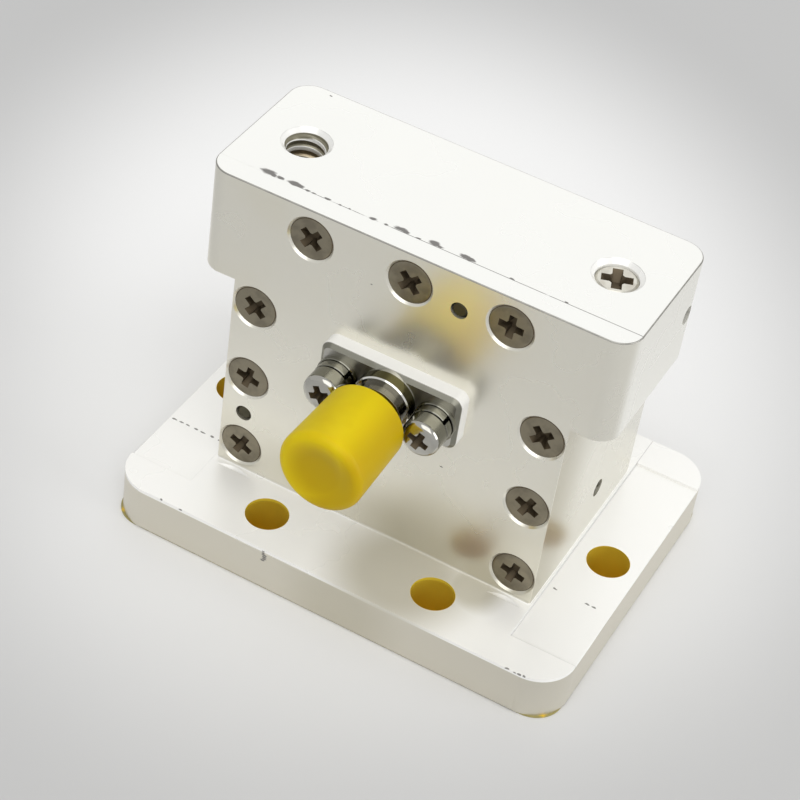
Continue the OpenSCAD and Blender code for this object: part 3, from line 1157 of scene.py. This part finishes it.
@dataclass
class Bench:
    """Turns shapes into pieces of the object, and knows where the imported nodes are."""

    finishes: Finishes

    @staticmethod
    def box(node: str) -> tuple[Vector, Vector]:
        """Gives a node's lowest and highest corner in millimetres."""
        low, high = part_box(node)
        return low / MM, high / MM

    @staticmethod
    def on_front(x: float, z: float, y: float, turn: float = 0.0) -> Matrix:
        """Gives the matrix that stands a shape on a face that looks to the front.

        Args:
            x: Place to the right.
            z: Place upwards.
            y: Place of the shape's z = 0.
            turn: Turn of the shape about its own axis, in degrees.

        Returns:
            The matrix.
        """
        spin = Matrix.Rotation(math.radians(turn), 4, "Z")
        return Matrix.Translation((x, y, z)) @ Matrix.Rotation(math.pi / 2, 4, "X") @ spin

    def piece(
        self,
        name: str,
        shape: bmesh.types.BMesh,
        materials: Sequence[bpy.types.Material],
        slot: Slot,
        replaces: Sequence[str] = (),
        body: Body = Body.ADAPTER,
        smooth: float = 32.0,
    ) -> bpy.types.Object:
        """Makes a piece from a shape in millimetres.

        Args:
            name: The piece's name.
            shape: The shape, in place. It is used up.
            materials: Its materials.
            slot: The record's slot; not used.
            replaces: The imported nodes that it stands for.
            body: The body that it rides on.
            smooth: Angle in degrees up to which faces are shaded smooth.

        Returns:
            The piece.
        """
        bmesh.ops.scale(shape, vec=(MM, MM, MM), verts=shape.verts)
        mesh = bpy.data.meshes.new(name)
        shape.to_mesh(mesh)
        shape.free()
        self.shade(mesh, math.radians(smooth))
        for material in materials:
            mesh.materials.append(material)
        made = bpy.data.objects.new(name, mesh)
        bpy.context.scene.collection.objects.link(made)
        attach(made, body.value)
        if replaces:
            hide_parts(*replaces)
        LOG.info("%s: %d faces", name, len(mesh.polygons))
        return made

    @staticmethod
    def shade(mesh: bpy.types.Mesh, smooth: float) -> None:
        """Points each corner's normal along the faces round it that nearly share its own face's direction.

        Args:
            mesh: The mesh.
            smooth: Angle in radians up to which faces count as one surface.
        """
        normals = [face.normal.copy() for face in mesh.polygons]
        around: list[list[int]] = [[] for _ in mesh.vertices]
        for face in mesh.polygons:
            face.use_smooth = True
            for vert in face.vertices:
                around[vert].append(face.index)
        limit = math.cos(smooth)
        corners = []
        for face in mesh.polygons:
            own = normals[face.index]
            for vert in face.vertices:
                near = [i for i in around[vert] if own.dot(normals[i]) >= limit]
                total = sum((normals[i] * mesh.polygons[i].area for i in near), own * 1e-12)
                corners.append(total.normalized())
        mesh.normals_split_custom_set(corners)

    def dress(self, node: str, material: bpy.types.Material) -> None:
        """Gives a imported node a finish.

        Args:
            node: The node.
            material: The finish.
        """
        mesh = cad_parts[node].data
        mesh.materials.clear()
        mesh.materials.append(material)
        LOG.info("%s: kept, finish %s", node, material.name)


@dataclass
class SplitBlock:
    """The two machined halves, with their edges broken."""

    bench: Bench
    edge_break: float = 0.12
    sharp: float = 35.0
    top_sharp: float = 60.0
    shortest: float = 0.7
    flat: float = 0.5
    seam_break: float = 0.05
    seam_foot: float = FLANGE_TOP + 0.1

    def build(self) -> None:
        """Makes both halves."""
        for node in ("main_block", "front_cover"):
            finishes = [self.bench.finishes.silver, self.bench.finishes.edge]
            self.bench.piece(node + "_broken_edges", self.half(node), finishes, Slot.BLOCK, [node])

    def half(self, node: str) -> bmesh.types.BMesh:
        """Copies a half, joins its flat faces and breaks its long edges.

        Args:
            node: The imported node.

        Returns:
            The half in millimetres.
        """
        made = bmesh.new()
        made.from_mesh(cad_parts[node].data)
        bmesh.ops.scale(made, vec=(1 / MM,) * 3, verts=made.verts)
        bmesh.ops.remove_doubles(made, verts=made.verts, dist=1e-4)
        bmesh.ops.dissolve_limit(
            made, angle_limit=math.radians(self.flat), verts=made.verts, edges=made.edges,
            use_dissolve_boundaries=False,
        )
        for face in made.faces:
            face.material_index = 0
        edges = [edge for edge in made.edges if self.is_broken(edge, False)]
        # The bevels along the head's top take the darker edge finish.
        for face in Shapes.bevel(made, edges, self.edge_break, 3):
            if face.calc_center_median().z > HEAD_TOP - self.edge_break:
                face.material_index = 1
        Shapes.bevel(made, [edge for edge in made.edges if self.is_broken(edge, True)], self.seam_break, 1)
        bmesh.ops.remove_doubles(made, verts=made.verts, dist=NEAR)
        bmesh.ops.dissolve_degenerate(made, dist=NEAR, edges=made.edges)
        return made

    def is_broken(self, edge: bmesh.types.BMEdge, at_seam: bool) -> bool:
        """Says whether an edge is a long convex one.

        Args:
            edge: The edge.
            at_seam: Whether edges of the seam are asked for, or all the others.

        Returns:
            True if it gets a bevel.
        """
        if len(edge.link_faces) != 2 or not edge.is_convex:
            return False
        if at_seam != all(abs(vert.co.y - SEAM) < NEAR for vert in edge.verts):
            return False
        if at_seam and min(vert.co.z for vert in edge.verts) < self.seam_foot:
            return False
        if all(vert.co.z > HEAD_TOP - NEAR for vert in edge.verts):
            return edge.calc_face_angle() > math.radians(self.top_sharp)
        return edge.calc_face_angle() > math.radians(self.sharp) and edge.calc_length() > self.shortest


@dataclass
class FootStrip:
    """The small hollow fillet along the foot of the front face."""

    bench: Bench
    half: float = 18.84
    radius: float = 0.3
    sink: float = 0.02

    def build(self) -> None:
        """Makes the strip."""
        r = self.radius
        arc = [
            (FRONT - r + r * math.sin(a), FLANGE_TOP + r - r * math.cos(a))
            for a in (math.radians(step) for step in range(0, 91, 15))
        ]
        inner = FRONT + self.sink, FLANGE_TOP - self.sink
        outline = [(arc[0][0], inner[1]), *arc, (inner[0], arc[-1][1]), inner]
        shape = bmesh.new()
        face = shape.faces.new([shape.verts.new((-self.half, y, z)) for y, z in outline])
        swept = bmesh.ops.extrude_face_region(shape, geom=[face], use_keep_orig=True)["geom"]
        moved = [item for item in swept if isinstance(item, bmesh.types.BMVert)]
        bmesh.ops.translate(shape, verts=moved, vec=(2 * self.half, 0, 0))
        bmesh.ops.recalc_face_normals(shape, faces=shape.faces)
        self.bench.piece("front_foot_fillet", shape, [self.bench.finishes.silver], Slot.BLOCK)


@dataclass
class CoverScrews:
    """Nine countersunk screws with cross recesses, each left at its own angle."""

    bench: Bench
    head_d: float = 4.9
    head_h: float = 1.3
    shank_d: float = 2.5
    length: float = 8.0
    rim: float = 0.12
    face_edge: float = 0.35
    face_drop: float = 0.03
    tip: float = 0.4
    cross: tuple[float, float, float] = (3.1, 0.9, 1.0)
    column_count: int = 3
    column_pitch: float = 9.5
    row_pitch: float = 11.05
    angles: tuple[float, ...] = (64, 77, 48, 76, 64, 38, 48, 42, -3)

    def places(self) -> list[Span]:
        """Works out where the screws are, from the node's box.

        Returns:
            Their places as (x, z).
        """
        low, high = self.bench.box("cover_screws")
        edge = self.head_d / 2
        bottom, top = low.z + edge, high.z - edge
        side = high.x - edge
        heights = [bottom + i * self.column_pitch for i in range(self.column_count)]
        columns = [(s * side, z) for s in (-1, 1) for z in heights]
        return columns + [(i * self.row_pitch, top) for i in (-1, 0, 1)]

    def screw(self) -> bmesh.types.BMesh:
        """Makes one screw with its face at z = 0.

        Returns:
            The screw.
        """
        head, shank = self.head_d / 2, self.shank_d / 2
        profile = (
            (0, 0), (head - self.face_edge, 0), (head - self.rim, -self.face_drop), (head, -self.rim),
            (shank, -self.head_h), (shank, self.tip - self.length), (shank - self.tip, -self.length),
            (0, -self.length),
        )
        made = Shapes.spun(profile)
        for face in made.faces:
            middle = face.calc_center_median()
            if middle.xy.length > head - self.rim and middle.z > -self.rim:
                face.material_index = 1
        return Shapes.cut(made, Shapes.cross(*self.cross))

    def build(self) -> None:
        """Makes all the screws as one piece."""
        face = self.bench.box("cover_screws")[0].y
        screw = self.screw()
        stands = [self.bench.on_front(x, z, face, a) for (x, z), a in zip(self.places(), self.angles)]
        shape = Shapes.gathered([(screw, stand) for stand in stands])
        finishes = [self.bench.finishes.screw, self.bench.finishes.recess]
        self.bench.piece("cover_screws_cross", shape, finishes, Slot.SCREW, ["cover_screws"])


@dataclass
class Pins:
    """The two dowels in the front and the two plug pins in the right side."""

    bench: Bench
    dowel_r: float = 0.9
    plug_r: float = 1.0
    chamfer: float = 0.25
    crown: float = 0.02
    body_end: float = 18.85
    plug_length: float = 5.0
    plated_skin: float = 0.03

    def pin(self, r: float, length: float) -> bmesh.types.BMesh:
        """Makes a pin whose front end is at z = 0.

        Args:
            r: Its radius.
            length: Its length.

        Returns:
            The pin.
        """
        c = self.chamfer
        profile = ((0, 0.0), (r - c, -self.crown), (r, -c), (r, c - length), (r - c, -length), (0, -length))
        return Shapes.spun(profile, 40)

    def build(self) -> None:
        """Makes the dowels and the plug pins."""
        self.dowels()
        self.plugs()

    def dowels(self) -> None:
        """Makes the dowels in the front."""
        r = self.dowel_r
        low, high = self.bench.box("dowel_pins")
        dowel = self.pin(r, high.y - low.y)
        places = ((high.x - r, high.z - r), (low.x + r, low.z + r))
        shape = Shapes.gathered([(dowel, self.bench.on_front(x, z, low.y)) for x, z in places])
        finishes = [self.bench.finishes.dowel]
        self.bench.piece("dowel_pins_chamfered", shape, finishes, Slot.SCREW, ["dowel_pins"])

    def plugs(self) -> None:
        """Makes the plug pins in the right side, the upper one with a plated end."""
        r = self.plug_r
        low, high = self.bench.box("side_pins")
        plug, plated = self.pin(r, self.plug_length), self.pin(r, self.plug_length)
        for face in plated.faces:
            if face.calc_center_median().z > -self.plated_skin:
                face.material_index = 1
        aside = Matrix.Rotation(math.pi / 2, 4, "Y")
        ends = ((self.body_end, high.y - r, low.z + r), (high.x, low.y + r, high.z - r))
        stands = [Matrix.Translation(end) @ aside for end in ends]
        shape = Shapes.gathered(list(zip((plug, plated), stands)))
        finishes = [self.bench.finishes.dowel, self.bench.finishes.silver]
        self.bench.piece("side_pins_chamfered", shape, finishes, Slot.SCREW, ["side_pins"])


@dataclass
class TopHoles:
    """The thread in the open top hole and the screw that plugs the other one."""

    bench: Bench
    bore: float = 2.25
    ridge: float = 0.24
    pitch: float = 1.2
    turns: float = 6.0
    flat: float = 0.34
    foot: float = 0.66
    run_out: float = 215.0
    mouth: float = 0.14
    chamfer: float = 0.3
    face_drop: float = 0.25
    cross: tuple[float, float, float] = (3.6, 1.15, 1.1)
    plug_turn: float = 21.0

    def build(self) -> None:
        """Makes the thread and the plug screw."""
        low, high = self.bench.box("top_plug_screw")
        x, y = (low.x + high.x) / 2, (low.y + high.y) / 2
        self.thread(-x, y)
        self.plug((x, y, high.z), (high.x - low.x) / 2, high.z - low.z)

    def thread(self, x: float, y: float) -> None:
        """Makes the open hole's thread.

        Args:
            x: The hole's place to the right.
            y: The hole's place to the back.
        """
        top = self.bench.box("main_block")[1].z
        length = (self.turns + 1) * self.pitch
        shape = Shapes.thread(self.bore, self.bore - self.ridge, self.pitch, length, self.flat, self.foot)
        turn = Matrix.Rotation(math.radians(self.run_out), 3, "Z")
        bmesh.ops.rotate(shape, verts=shape.verts, cent=(0, 0, 0), matrix=turn)
        bmesh.ops.translate(shape, verts=shape.verts, vec=(x, y, top - self.mouth - length))
        self.bench.piece("top_hole_thread", shape, [self.bench.finishes.silver], Slot.BLOCK)

    def plug(self, face: tuple[float, float, float], radius: float, depth: float) -> None:
        """Makes the plug screw.

        Args:
            face: The middle of its face.
            radius: Its radius.
            depth: Its length.
        """
        c = self.chamfer
        profile = (
            (0, 0), (radius - c, 0), (radius, -self.face_drop), (radius, c - depth), (radius - c, -depth),
            (0, -depth),
        )
        screw = Shapes.cut(Shapes.spun(profile), Shapes.cross(*self.cross))
        turned = Matrix.Translation(face) @ Matrix.Rotation(math.radians(self.plug_turn), 4, "Z")
        shape = Shapes.gathered([(screw, turned)])
        finishes = [self.bench.finishes.plug, self.bench.finishes.worn_and_shade]
        self.bench.piece("top_plug_cross", shape, finishes, Slot.BRIGHT, ["top_plug_screw"])


@dataclass
class CoaxJack:
    """The jack: a chamfered plate with a threaded barrel, and its insulator, contact and probe."""

    bench: Bench
    plate_t: float = 2.0
    corner_r: float = 1.1
    chamfer: float = 0.45
    edge_break: float = 0.06
    sunk: float = 1.0
    shoulder_r: float = 3.25
    shoulder_l: float = 1.4
    shoulder_edge: float = 0.14
    relief_r: float = 2.7
    relief_l: float = 1.0
    root_r: float = 2.78
    crest_r: float = 3.17
    pitch: float = 0.706
    lead: float = 0.1
    tip: float = 0.2
    run_out: float = 0.15
    mouth_r: float = 2.3
    mouth_depth: float = 1.9
    floor_gap: float = 0.2

    def plate(self, size: Vector) -> bmesh.types.BMesh:
        """Makes the plate with its back at z = 0.

        Args:
            size: Length, height and thickness.

        Returns:
            The plate.
        """
        made = Shapes.box(size, (0, 0, size.z / 2))
        upright = [e for e in made.edges if abs(e.verts[0].co.z - e.verts[1].co.z) > size.z / 2]
        Shapes.bevel(made, upright, self.corner_r, 8)
        for face in Shapes.bevel(made, self.level(made, size.z), self.chamfer, 1):
            face.material_index = 1
        for face in Shapes.bevel(made, self.level(made, size.z - self.chamfer), self.edge_break, 2):
            face.material_index = 0
        return made

    @staticmethod
    def level(shape: bmesh.types.BMesh, height: float) -> list[bmesh.types.BMEdge]:
        """Lists the edges that lie at a height."""
        return [e for e in shape.edges if all(abs(v.co.z - height) < NEAR for v in e.verts)]

    def barrel(self, length: float) -> bmesh.types.BMesh:
        """Makes the shoulder and the barrel's core, with the plate's front at z = 0.

        Args:
            length: The barrel's length.

        Returns:
            The core.
        """
        start = self.shoulder_l + self.relief_l
        edge = self.shoulder_edge
        floor = length - self.mouth_depth - self.floor_gap
        profile = (
            (0, -self.sunk), (self.shoulder_r, -self.sunk), (self.shoulder_r, self.shoulder_l - edge),
            (self.shoulder_r - edge, self.shoulder_l), (self.relief_r, self.shoulder_l),
            (self.relief_r, start), (self.root_r, start + self.lead), (self.root_r, length - self.lead),
            (self.root_r - self.tip, length), (self.mouth_r + self.lead, length),
            (self.mouth_r, length - self.lead), (self.mouth_r, floor), (0, floor),
        )
        return Shapes.spun(profile, 72)

    def build(self) -> None:
        """Makes the jack and dresses what is inside it."""
        low, high = self.bench.box("coax_shell")
        x, z = (low.x + high.x) / 2, (low.z + high.z) / 2
        length = high.y - low.y - self.plate_t
        start = self.shoulder_l + self.relief_l
        thread = Shapes.thread(self.root_r, self.crest_r, self.pitch, length - start - self.run_out)
        front = high.y - self.plate_t
        parts = [
            (self.plate(Vector((high.x - low.x, high.z - low.z, self.plate_t))), high.y),
            (self.barrel(length), front),
            (thread, front - start - self.lead),
        ]
        shape = Shapes.gathered([(part, self.bench.on_front(x, z, y)) for part, y in parts])
        finishes = [self.bench.finishes.bright, self.bench.finishes.shaded]
        self.bench.piece("coax_jack_threaded", shape, finishes, Slot.BRIGHT, ["coax_shell"])
        self.bench.dress("coax_insulator", self.bench.finishes.insulator)
        self.bench.dress("center_contact", self.bench.finishes.gold)
        self.bench.dress("launch_probe", self.bench.finishes.gold)


@dataclass
class JackScrews:
    """The jack's two pan-head screws, each on a split spring washer and a flat washer."""

    bench: Bench
    node_r: float = 2.2
    head_r: float = 2.08
    head_h: float = 2.3
    head_foot: float = 0.1
    dome: float = 0.7
    dome_drop: float = 0.06
    crown_share: float = 0.45
    crown_drop: float = 0.02
    upright: float = 0.2
    cross: tuple[float, float, float] = (2.6, 0.8, 1.2)
    shank_r: float = 1.25
    spring_r: float = 2.1
    spring_t: float = 0.92
    spring_lift: float = 0.16
    spring_turn: float = 348.0
    split_at: float = 51.0
    flat_r: float = 2.25
    hole_r: float = 1.3
    washer_edge: float = 0.08
    angles: tuple[float, float] = (25, 70)

    def places(self) -> list[Span]:
        """Works out where the screws are, from the node's box.

        Returns:
            Their places as (x, z).
        """
        low, high = self.bench.box("connector_screws")
        middle = (low + high) / 2
        half = (high.x - low.x) / 2 - self.node_r
        return [(middle.x + side * half, middle.z) for side in (-1, 1)]

    def screw(self, length: float) -> bmesh.types.BMesh:
        """Makes a screw whose head stands on z = 0 and has a darker side.

        Args:
            length: Length under the head.

        Returns:
            The screw.
        """
        r, h, d = self.head_r, self.head_h, self.dome
        arc = Shapes.arc((r - d, h - d - self.dome_drop), d, 15)
        profile = [
            (0, h), (r * self.crown_share, h - self.crown_drop), *reversed(arc), (r, self.head_foot),
            (r - self.head_foot, 0.0), (self.shank_r, 0), (self.shank_r, -length), (0, -length),
        ]
        cutters = Shapes.cross(*self.cross)
        for cutter in cutters:
            bmesh.ops.translate(cutter, verts=cutter.verts, vec=(0, 0, h))
        made = Shapes.cut(Shapes.spun(profile), cutters)
        for face in made.faces:
            if face.material_index == 0 and abs(face.normal.z) < self.upright:
                face.material_index = 2
        return made

    def build(self) -> None:
        """Makes the screws and the washers."""
        low, high = self.bench.box("connector_screws")
        seat = low.y + self.head_h
        screw = self.screw(high.y - seat)
        stands = [self.bench.on_front(x, z, seat, a) for (x, z), a in zip(self.places(), self.angles)]
        shape = Shapes.gathered([(screw, stand) for stand in stands])
        finishes = [self.bench.finishes.bright, self.bench.finishes.worn_and_shade, self.bench.finishes.shaded]
        self.bench.piece("connector_screws_pan", shape, finishes, Slot.BRIGHT, ["connector_screws"])
        self.spring_washers()
        self.flat_washers()

    def spring_washers(self) -> None:
        """Makes the split spring washers."""
        inner, outer, thick, e = self.hole_r, self.spring_r, self.spring_t, self.washer_edge
        section = (
            (inner, 0), (outer - e, 0), (outer, e), (outer, thick - e), (outer - e, thick), (inner, thick),
        )
        spring = Shapes.swept(section, math.radians(self.spring_turn), self.spring_lift, 60)
        self.washers("spring_washers", "spring_washers_split", spring, self.split_at)

    def flat_washers(self) -> None:
        """Makes the flat washers."""
        low, high = self.bench.box("flat_washers")
        inner, outer, thick, e = self.hole_r, self.flat_r, high.y - low.y, self.washer_edge
        ring = ((inner, 0), (outer, 0), (outer, thick - e), (outer - e, thick), (inner, thick))
        self.washers("flat_washers", "flat_washers_round", Shapes.spun(ring, 48))

    def washers(self, node: str, name: str, washer: bmesh.types.BMesh, turn: float = 0.0) -> None:
        """Puts a washer under both heads.

        Args:
            node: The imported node.
            name: The piece's name.
            washer: The washer, standing on z = 0. It is used up.
            turn: Its turn in degrees.
        """
        base = self.bench.box(node)[1].y
        shape = Shapes.gathered([(washer, self.bench.on_front(x, z, base, turn)) for x, z in self.places()])
        self.bench.piece(name, shape, [self.bench.finishes.shaded], Slot.BRIGHT, [node])


@dataclass
class DustCap:
    """The push-on cap: a soft tapered cup with a round edge and a shallow dish."""

    bench: Bench
    bore_r: float = 3.235
    mouth_r: float = 4.35
    end_t: float = 2.2
    edge_r: float = 0.9
    dish: float = 0.5
    dish_bend: float = 1.6
    lip: float = 0.3
    lip_in: float = 0.03
    lip_out: Span = (0.08, 0.09)
    smooth: float = 40.0

    def build(self) -> None:
        """Makes the cap."""
        low, high = self.bench.box("dust_cap")
        x, z = (low.x + high.x) / 2, (low.z + high.z) / 2
        length = high.y - low.y
        flat_r = (high.x - low.x) / 2 - self.edge_r
        arc = Shapes.arc((flat_r, length - self.edge_r), self.edge_r, 10)
        dish = [
            (flat_r * s, length - self.dish * (0.5 + 0.5 * math.cos(math.pi * s ** self.dish_bend)))
            for s in (step / 10 for step in range(9, 0, -1))
        ]
        bore, mouth, lip, floor = self.bore_r, self.mouth_r, self.lip, length - self.end_t
        profile = [
            (0, floor), (bore - lip, floor), (bore, floor - lip), (bore, lip), (bore + lip, self.lip_in),
            (mouth - lip, 0.0), (mouth - self.lip_out[0], self.lip_out[1]), (mouth, lip), *arc, *dish,
            (0, length - self.dish),
        ]
        shape = Shapes.gathered([(Shapes.spun(profile, 96), self.bench.on_front(x, z, high.y))])
        finishes = [self.bench.finishes.cap]
        self.bench.piece("dust_cap_soft", shape, finishes, Slot.CAP, ["dust_cap"], Body.CAP, self.smooth)


@dataclass(frozen=True)
class Lamp:
    """A square soft box that looks at the object, in metres and watts."""

    name: str
    place: tuple[float, float, float]
    side: float
    power: float


@dataclass
class Studio:
    """The pale floor, the soft light and the camera of the photograph."""

    azimuth: float = 22.644
    elevation: float = 41.254
    roll: float = 9.198
    lens: float = 107.83
    sensor: float = 36.0
    clip: Span = (0.01, 20.0)
    place: tuple[float, float, float] = (70.59, -177.57, 182.85)
    floor_side: float = 6.0
    floor_drop: float = 0.02
    floor_white: float = 0.95
    floor_grey: float = 0.57
    pale_middle: Span = (-17.0, 26.5)
    pale_reach: Span = (50, 66)
    pale_fade: Span = (0.55, 1.35)
    lamps: tuple[Lamp, ...] = (
        Lamp("back_softbox", (-0.33, 0.78, 0.75), 1.0, 1.6),
        Lamp("front_softbox", (0.25, -0.75, 1.0), 1.2, 5.9),
        Lamp("side_softbox", (1.1, 0.1, 0.35), 0.8, 4.8),
    )
    world_tint: Colour = (1.0, 1.0, 0.99)
    world_power: float = 0.62

    def build(self) -> None:
        """Makes the floor, the lights, the world and the camera."""
        self.camera()
        self.floor()
        for lamp in self.lamps:
            self.softbox(lamp)
        self.world()
        bpy.context.scene.view_settings.view_transform = "Standard"

    def axes(self) -> tuple[Vector, Vector, Vector]:
        """Works out how the camera is turned.

        Returns:
            Its right, up and backward directions.
        """
        az, el, roll = (math.radians(v) for v in (self.azimuth, self.elevation, self.roll))
        back = Vector((math.sin(az) * math.cos(el), -math.cos(az) * math.cos(el), math.sin(el)))
        right = (-back).cross(Vector((0, 0, 1))).normalized()
        up = right.cross(-back)
        return (
            right * math.cos(roll) + up * math.sin(roll),
            up * math.cos(roll) - right * math.sin(roll),
            back,
        )

    def camera(self) -> None:
        """Makes the camera at the photograph's viewing angle."""
        data = bpy.data.cameras.new("photo_camera")
        data.lens = self.lens
        data.sensor_width = self.sensor
        data.clip_start, data.clip_end = self.clip
        made = bpy.data.objects.new("photo_camera", data)
        bpy.context.scene.collection.objects.link(made)
        turn = Matrix(self.axes()).transposed().to_4x4()
        made.matrix_world = Matrix.Translation(Vector(self.place) * MM) @ turn
        bpy.context.scene.camera = made

    def floor(self) -> None:
        """Makes the floor."""
        shape = bmesh.new()
        bmesh.ops.create_grid(shape, x_segments=8, y_segments=8, size=self.floor_side / 2)
        bmesh.ops.translate(shape, verts=shape.verts, vec=(0, 0, -self.floor_drop * MM))
        mesh = bpy.data.meshes.new("floor")
        shape.to_mesh(mesh)
        shape.free()
        mesh.materials.append(self.paper())
        made = bpy.data.objects.new("floor", mesh)
        bpy.context.scene.collection.objects.link(made)

    def paper(self) -> bpy.types.Material:
        """Builds the floor's material, white round the object and light grey further out.

        Returns:
            The material.
        """
        shade = Shade("pale_floor")
        centred = shade.vector("SUBTRACT", shade.place((1, 1, 0)), (*self.pale_middle, 0))
        turned = shade.node(
            "ShaderNodeVectorRotate",
            {"rotation_type": "Z_AXIS"},
            {"Vector": centred.outputs[0], "Angle": -math.radians(self.azimuth)},
        )
        across, deep, _ = shade.axes(Wire(shade, turned.outputs[0]))
        across, deep = across * (1 / self.pale_reach[0]), deep * (1 / self.pale_reach[1])
        pale = shade.math("SQRT", across * across + deep * deep, 0.0).rise(*self.pale_fade)
        white, grey = ((level,) * 3 for level in (self.floor_white, self.floor_grey))
        shade.feed({
            "Base Color": shade.blend(pale, white, grey),
            "Roughness": 0.9,
            "Specular IOR Level": 0.0,
        })
        return shade.material

    def world(self) -> None:
        """Makes the world's even light."""
        made = bpy.data.worlds.new("studio")
        bpy.context.scene.world = made
        made.use_nodes = True
        background = made.node_tree.nodes["Background"]
        background.inputs["Color"].default_value = (*self.world_tint, 1.0)
        background.inputs["Strength"].default_value = self.world_power

    @staticmethod
    def softbox(lamp: Lamp) -> None:
        """Makes an area lamp that looks at the object.

        Args:
            lamp: The lamp.
        """
        data = bpy.data.lights.new(lamp.name, "AREA")
        data.size = lamp.side
        data.energy = lamp.power
        made = bpy.data.objects.new(lamp.name, data)
        bpy.context.scene.collection.objects.link(made)
        made.location = lamp.place
        made.rotation_mode = "QUATERNION"
        made.rotation_quaternion = Vector(lamp.place).to_track_quat("Z", "Y")


def main() -> None:
    """Builds the pieces in order, then the studio."""
    logging.basicConfig(level=logging.INFO, format="%(name)s %(message)s")
    finishes = Finishes()
    bench = Bench(finishes)
    for assembly in (SplitBlock, FootStrip, CoverScrews, Pins, TopHoles, CoaxJack, JackScrews, DustCap):
        assembly(bench).build()
    bench.dress("protective_film", finishes.film)
    Studio().build()


if __name__ == "__main__":
    main()
